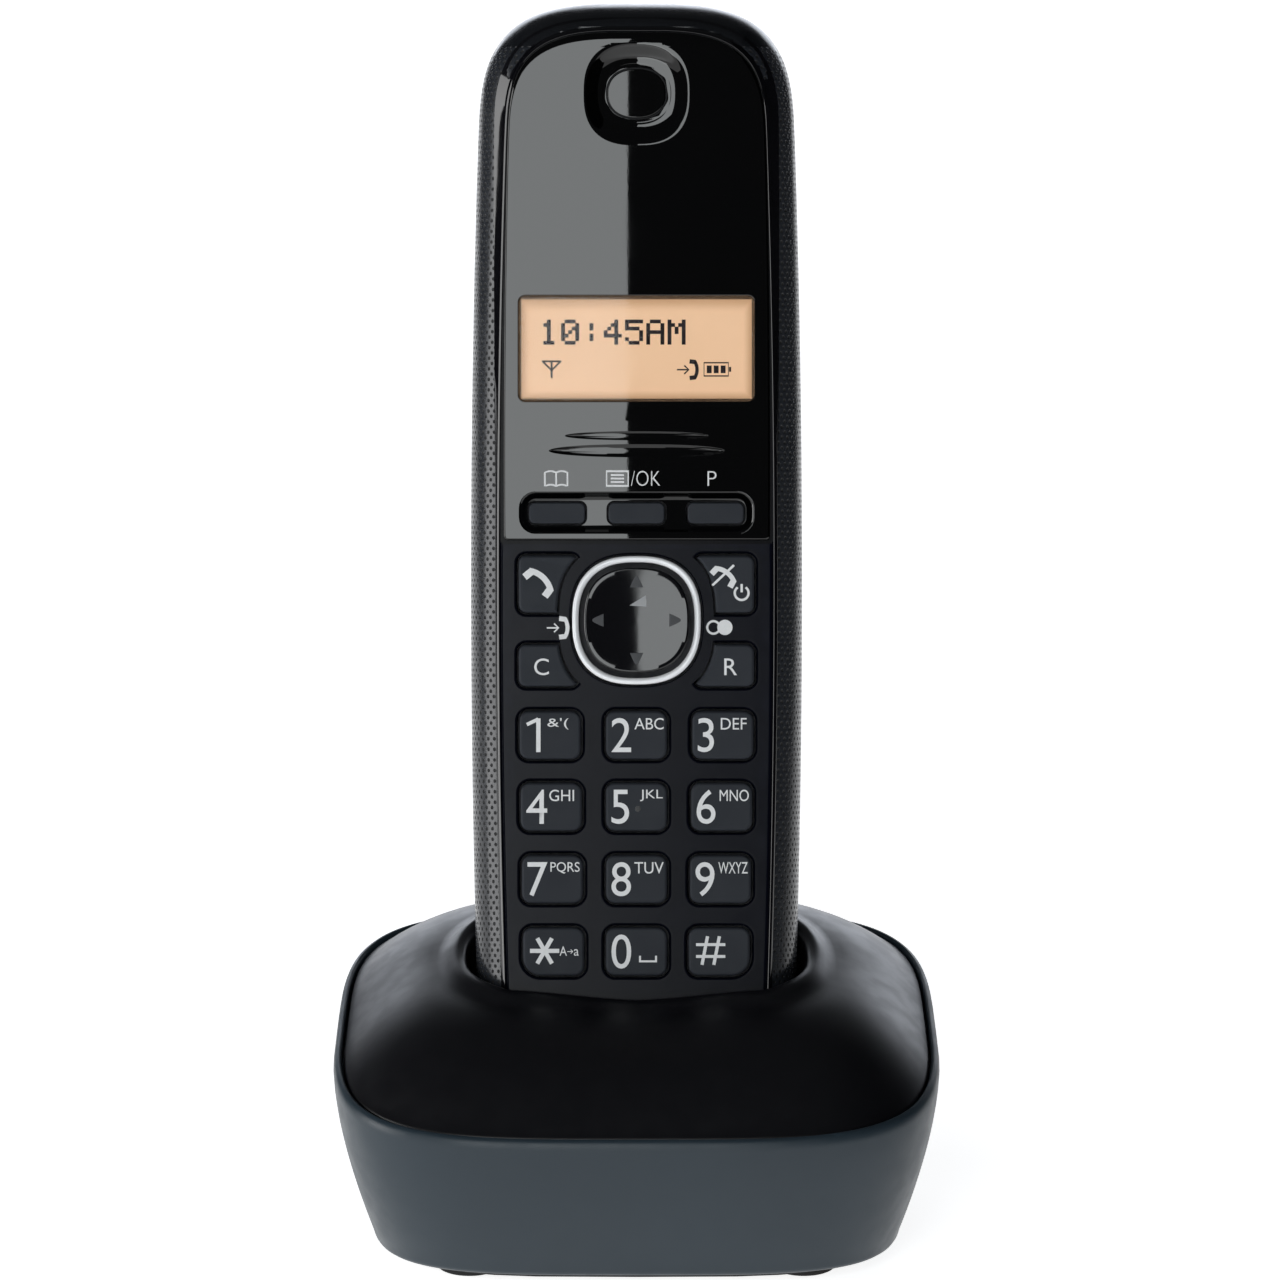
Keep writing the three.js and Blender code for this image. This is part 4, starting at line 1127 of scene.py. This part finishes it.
def key_figures():
    """Marks of the keys round the pad and in the lowest row, placed in the handset's frame"""
    figure("talk_mark", receiver(-14.2, 74.35, 4.2, radians(-44)), "talk_key")
    off = receiver(12.4, 75.2, 3.4, radians(-36)) + ribbon([(10.9, 74.1), (14.0, 77.0)], 0.34)
    power = ribbon(arc(15.1, 73.0, 1.0, 125, 415), 0.34) + ribbon([(15.1, 73.1), (15.1, 74.3)], 0.34)
    figure("off_mark", off + power, "off_key")
    lettering("clear_mark", "C", "clear_key", -14.7, 61.2, 2.4)
    lettering("recall_mark", "R", "recall_key", 12.6, 61.2, 2.4)
    star_marks()
    space = ribbon([(0.5, 20.9), (0.5, 20.1)], 0.28) + ribbon([(0.36, 20.1), (2.94, 20.1)], 0.28)
    figure("space_mark", space + ribbon([(2.8, 20.1), (2.8, 20.9)], 0.28), "key_0")
    bars = [quad for y in (20.8, 22.5) for quad in ribbon([(8.55, y), (12.75, y)], 0.42)]
    bars += [quad for x in (9.75, 11.45) for quad in ribbon([(x - 0.35, 19.6), (x + 0.45, 23.7)], 0.46)]
    figure("hash_mark", bars, "key_hash")
    figure("key_5_pip", [arc(0.2, 42.0, 0.42, 0, 354, 20)], "key_5", ink="nav_gloss")


def star_marks():
    """A six-rayed star, then a small sign for the change of letter case"""
    x, y, ray, rays = -13.2, 21.6, 2.1, []
    for k in range(6):
        rays += ribbon([(x, y), (x + ray * cos(radians(60 * k)), y + ray * sin(radians(60 * k)))], 0.6)
    figure("star_mark", rays, "key_star")
    lettering("star_case_mark", "A", "key_star", -11.05, 20.9, 1.35, 0.8)
    figure("star_arrow_mark", pointer(-9.95, 21.5, 0.8), "key_star")
    lettering("star_small_mark", "a", "key_star", -9.0, 20.9, 0.95, 0.9)


ON_DECK = {"body": "handset", "z": FACE, "slot": "face_satin"}
ON_PANEL = {"body": "handset", "z": PANEL_FRONT, "slot": "panel_gloss"}
ON_DISPLAY = {"body": "handset", "z": 8.62, "ink": "lcd_ink", "slot": "display"}


def deck_figures():
    """Marks printed on the deck under the upper keys"""
    recall = receiver(-10.7, 68.0, 2.8, radians(-90)) + pointer(-12.9, 68.0)
    figure("speaker_mark", recall, **ON_DECK)
    rings = ribbon(arc(11.06, 68.06, 0.9, 0, 345, 24), 0.32, True) + [arc(12.7, 68.06, 1.1, 0, 345, 24)]
    figure("redial_mark", rings, **ON_DECK)


def panel_figures():
    """Labels over the soft keys"""
    spine = -11.55
    book = ribbon([(spine, 88.35), (spine, 90.35)], 0.24)
    for side in (-1, 1):
        page = [(spine + side * 1.62 * k / 8, 90.32 + 0.2 * sin(pi * k / 8)) for k in range(9)]
        foot = [(x, y - 1.95) for x, y in reversed(page)]
        book += ribbon(page + foot, 0.24)
    figure("book_mark", book, **ON_PANEL)
    menu = ribbon([(-4.3, 88.4), (-4.3, 90.5), (-1.2, 90.5), (-1.2, 88.4)], 0.32, True)
    menu += [quad for y in (88.95, 89.45, 89.95) for quad in ribbon([(-3.7, y), (-1.8, y)], 0.26)]
    figure("menu_mark", menu, **ON_PANEL)
    lettering("menu_text", "/OK", x=-0.8, y=88.4, height=2.15, stretch=0.85, slim=0.015, **ON_PANEL)
    lettering("page_text", "P", x=10.2, y=88.4, height=2.1, slim=0.015, **ON_PANEL)


DOT_FIGURES = {
    "0": "01110 10001 10011 10101 11001 10001 01110",
    "1": "00100 01100 00100 00100 00100 00100 01110",
    "4": "00010 00110 01010 10010 11111 00010 00010",
    "5": "11111 10000 11110 00001 00001 10001 01110",
    ":": "00000 00100 00100 00000 00100 00100 00000",
    "A": "01110 10001 10001 11111 10001 10001 10001",
    "M": "10001 11011 10101 10101 10001 10001 10001",
}


def lcd_clock(left=-13.9, top=112.3, pitch=0.51):
    """The time in square dots"""
    cells = []
    for place, character in enumerate("10:45AM"):
        for row, line in enumerate(DOT_FIGURES[character].split()):
            for column, dot in enumerate(line):
                if dot == "1":
                    x, y = left + (place * 6 + column) * pitch, top - row * pitch
                    cells.append(rectangle((x, x + pitch * 1.1), (y - pitch * 1.06, y)))
    figure("clock_dots", cells, **ON_DISPLAY)


def lcd_signs():
    """Aerial, receiver and battery signs below the time"""
    fork, tips = (-12.2, 105.0), ((-13.5, 106.3), (-10.9, 106.3))
    aerial = ribbon([(-12.2, 103.9), (-12.2, 106.4)], 0.3) + ribbon([tips[0], fork], 0.26)
    aerial += ribbon([fork, tips[1]], 0.26) + ribbon([(-13.6, 106.3), (-10.8, 106.3)], 0.26)
    figure("aerial_sign", aerial, **ON_DISPLAY)
    figure("call_sign", receiver(8.0, 105.1, 2.5, radians(-90)) + pointer(5.8, 105.1), **ON_DISPLAY)
    battery = ribbon([(9.7, 104.2), (9.7, 106.1), (13.2, 106.1), (13.2, 104.2)], 0.22, True)
    battery.append(rectangle((13.3, 13.6), (104.8, 105.5)))
    battery += [rectangle((10.1 + k, 10.8 + k), (104.6, 105.7)) for k in range(3)]
    figure("battery_sign", battery, **ON_DISPLAY)


# --- base ---


def rim_z(y):
    return RIM["height"] + RIM["slope"] * y


def base_ring(inset, height):
    """A ring of the base's plan, drawn in by inset, at a height given by its place front to back"""
    ring = []
    for turn in TURNS:
        y = BASE_Y - (RIM["half"][1] - inset) * spow(cos(turn), 2 / RIM["power"])
        narrowing = 1 - PLAN_TAPER[1] * max(0, y - PLAN_TAPER[0])
        x = (RIM["half"][0] * PLAN_FIT - inset) * narrowing * spow(sin(turn), 2 / RIM["power"])
        ring.append((x, y, height(y)))
    return ring


def rim_ring(inset, drop=0.0):
    """The same plan at a depth below the sloping rim"""
    return base_ring(inset, lambda y: rim_z(y) - drop)


def level_ring(inset, z):
    return base_ring(inset, lambda y: z)


def plan_fit():
    """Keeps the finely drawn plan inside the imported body's width"""
    low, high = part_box("base_body")
    return (high.x - low.x) / 2 / (max(x for x, _, _ in base_ring(0, rim_z)) * MM)


def wall_ring(share, thickness=0.0):
    """The wall part of the way from its foot to just under the rim"""
    foot = BODY_LOW + WALL_ENDS[0]
    inset = WALL_TAPER * (1 - share) ** WALL_POWER + thickness
    return base_ring(inset, lambda y: foot + (rim_z(y) - WALL_ENDS[1] - foot) * share)


def base_body():
    foot = ((1.1, 0), (0.7, 0.08), (0.35, 0.35), (0.1, 0.75))
    lip = [(0.02, 1.2), (0.1, 0.75), (0.26, 0.36), (0.5, 0.1), (0.78, 0), (0.98, 0.08), (1.13, 0.26)]
    lip += [(LIP, 0.5), (LIP, LEDGE), (LIP + BODY_WALL - 0.6, LEDGE + 0.4)]
    rings = [level_ring(PLATE_INSET - GAP, BODY_LOW)]
    rings += [level_ring(WALL_TAPER + inset, BODY_LOW + z) for inset, z in foot]
    rings += [wall_ring(k / 12) for k in range(13)]
    rings += [rim_ring(inset, drop) for inset, drop in lip]
    rings += [wall_ring(share, BODY_WALL) for share in (0.6, 0.1)]
    rings.append(level_ring(PLATE_INSET - GAP, PLATE_TOP + 1))
    body = solid("base_body_shell", loft(rings, True), BASE)
    openings = [block((x[0] - GAP, x[1] + GAP), (30, 50), (z[0] - GAP, z[1] + GAP)) for x, z in JACKS]
    button = locator_outline(-GAP)
    openings.append(loft([[(x, y, z) for x, z in button] for y in (50, 30)]))
    carve(body, cutter(together(*openings), BASE))
    dress(body, "base", "base_grey", replaces=("base_body",), crease=30)


def locator_outline(inset):
    low, high = LOCATOR["z"]
    return rounded(0, (low + high) / 2, (2 * LOCATOR["half"], high - low), 1.1, inset)


def locator_button():
    inner, outer = LOCATOR["y"]
    steps = ((0.5, outer), (0.25, outer - 0.05), (0.08, outer - 0.2), (0, outer - 0.5), (0, inner))
    rings = [[(x, y, z) for x, z in locator_outline(inset)] for inset, y in steps]
    button = solid("locator_button_cap", loft(rings), BASE)
    dress(button, "locator_button", "base_black", replaces=("locator_button",))


def in_base(point):
    """A point of the handset's frame in the base's"""
    x, y, z = point
    _, back, up = HANDSET_FOOT
    return x, back + y * sin(LEAN) - z * cos(LEAN), up + y * cos(LEAN) + z * sin(LEAN)


def mouth_ring(grow, face, lower):
    """The pocket's wall, as a ring that follows the slope of the cradle mouth"""
    s, c, slope = sin(LEAN), cos(LEAN), MOUTH["slope"]
    level = MOUTH["height"] + slope * HANDSET_FOOT[1] - HANDSET_FOOT[2] - lower
    ring = []
    for turn in TURNS:
        rise = level + MOUTH["curl"] * abs(sin(2 * turn)) * (cos(turn) > 0)
        y = 20  # a first guess, which settles in four rounds
        for _ in range(4):
            y = (rise - handset_point(turn, y, grow, face)[2] * (s + slope * c)) / (c - slope * s)
        ring.append(in_base(handset_point(turn, y, grow, face)))
    return ring


def pocket_rings(grow, face):
    heights = [BOTTOM_BEND - (BOTTOM_BEND + grow) * s for s in reversed(bend_steps(9))]
    return [[in_base(handset_point(turn, y, grow, face)) for turn in TURNS] for y in heights]


def dome_ring(rim, mouth, share, collar=0.0):
    """Part of the way from the rim to the mouth, with a soft collar standing up round the mouth"""
    ring = []
    for (rx, ry, rz), (mx, my, mz), turn in zip(rim, mouth, TURNS):
        ridge = collar * (0.35 + 0.65 * abs(sin(turn)))
        away = (1 - share) * hypot(mx - rx, my - ry) / COLLAR["width"]
        swell = ridge * (0.5 + 0.5 * cos(pi * min(1.0, away)))
        rise = 1 - (1 - share) ** DOME_POWER
        ring.append((rx + (mx - rx) * share, ry + (my - ry) * share, rz + (mz - ridge - rz) * rise + swell))
    return ring


# How far from the rim to the mouth each ring of the dome lies
DOME_SHARES = [0, 0.03, 0.07, 0.12, 0.18, 0.25, 0.33, 0.41, 0.5, 0.58]
DOME_SHARES += [0.66, 0.73, 0.79, 0.85, 0.9, 0.94, 0.97, 0.99, 1]


def base_cover():
    """The dome with the cradle pocket sunk into it"""
    face, gap, edge = PANEL_FRONT + MOUTH["gap"], MOUTH["gap"], LIP + GAP
    crest = mouth_ring(gap + 1.3, face + 1.3, 0)
    under = mouth_ring(gap + SHELL, face + SHELL, 2.6)
    rings = pocket_rings(gap + SHELL, face + SHELL) + [under]
    rings += [dome_ring(rim_ring(edge + SHELL, 1.2), under, share) for share in (0.7, 0.4, 0.15, 0)]
    skirt = ((SHELL, LEDGE - GAP), (0, LEDGE - GAP), (0, 0.6), (0.06, 0.35), (0.25, 0.12))
    rings += [rim_ring(edge + inset, drop) for inset, drop in skirt]
    rings += [dome_ring(rim_ring(edge + 0.5), crest, share, COLLAR["height"]) for share in DOME_SHARES]
    brow = ((0.95, 0.02), (0.6, 0.12), (0.3, 0.32), (0.1, 0.62), (0, 1.0))
    rings += [mouth_ring(gap + grow, face + grow, lower) for grow, lower in brow]
    rings += reversed(pocket_rings(gap, face))
    cover = solid("base_cover_dome", loft(rings), BASE)
    carve(cover, cutter(together(*contact_openings((-8, 5)))))
    dress(cover, "base", "base_black", replaces=("base_cover",), crease=34)


def feet():
    steps = ((1.2, 0.0), (0.45, 0.05), (0.12, 0.22), (0.0, 0.5), (0.0, FOOT["top"]))
    for name in ("foot_front_left", "foot_front_right", "foot_back_left", "foot_back_right"):
        low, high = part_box(name)
        x, y = ((low + high) / 2 / MM).xy
        rings = [lift(squircle(x, y, (FOOT["radius"],) * 2, 2, inset), z) for inset, z in steps]
        pad = solid(f"{name}_pad", loft(rings), Matrix.Identity(4))
        dress(pad, "base", "rubber_foot", replaces=(name,))


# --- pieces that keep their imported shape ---


def paint_packed_pieces():
    shown = {row["node"]: row["material_slot"] for row in frame["record"]["subparts"]}
    for name, piece in frame["nodes"].items():
        if not piece.hide_render:
            piece.data.materials.clear()
            piece.data.materials.append(MATERIALS[shown[name]])


PLAN_FIT = 1.0  # which plan_fit() measures with, before its answer takes over
PLAN_FIT = plan_fit()
MATERIALS = make_materials()
make_world()
make_lights(make_camera())
make_floor()
make_flags()
rear_case()
battery_cover()
face_bead()
front_case()
display_panel()
earpiece_disc()
display()
dial_keys()
soft_keys()
corner_keys()
nav_ring()
nav_pad()
key_figures()
deck_figures()
panel_figures()
lcd_clock()
lcd_signs()
base_body()
base_cover()
locator_button()
feet()
paint_packed_pieces()
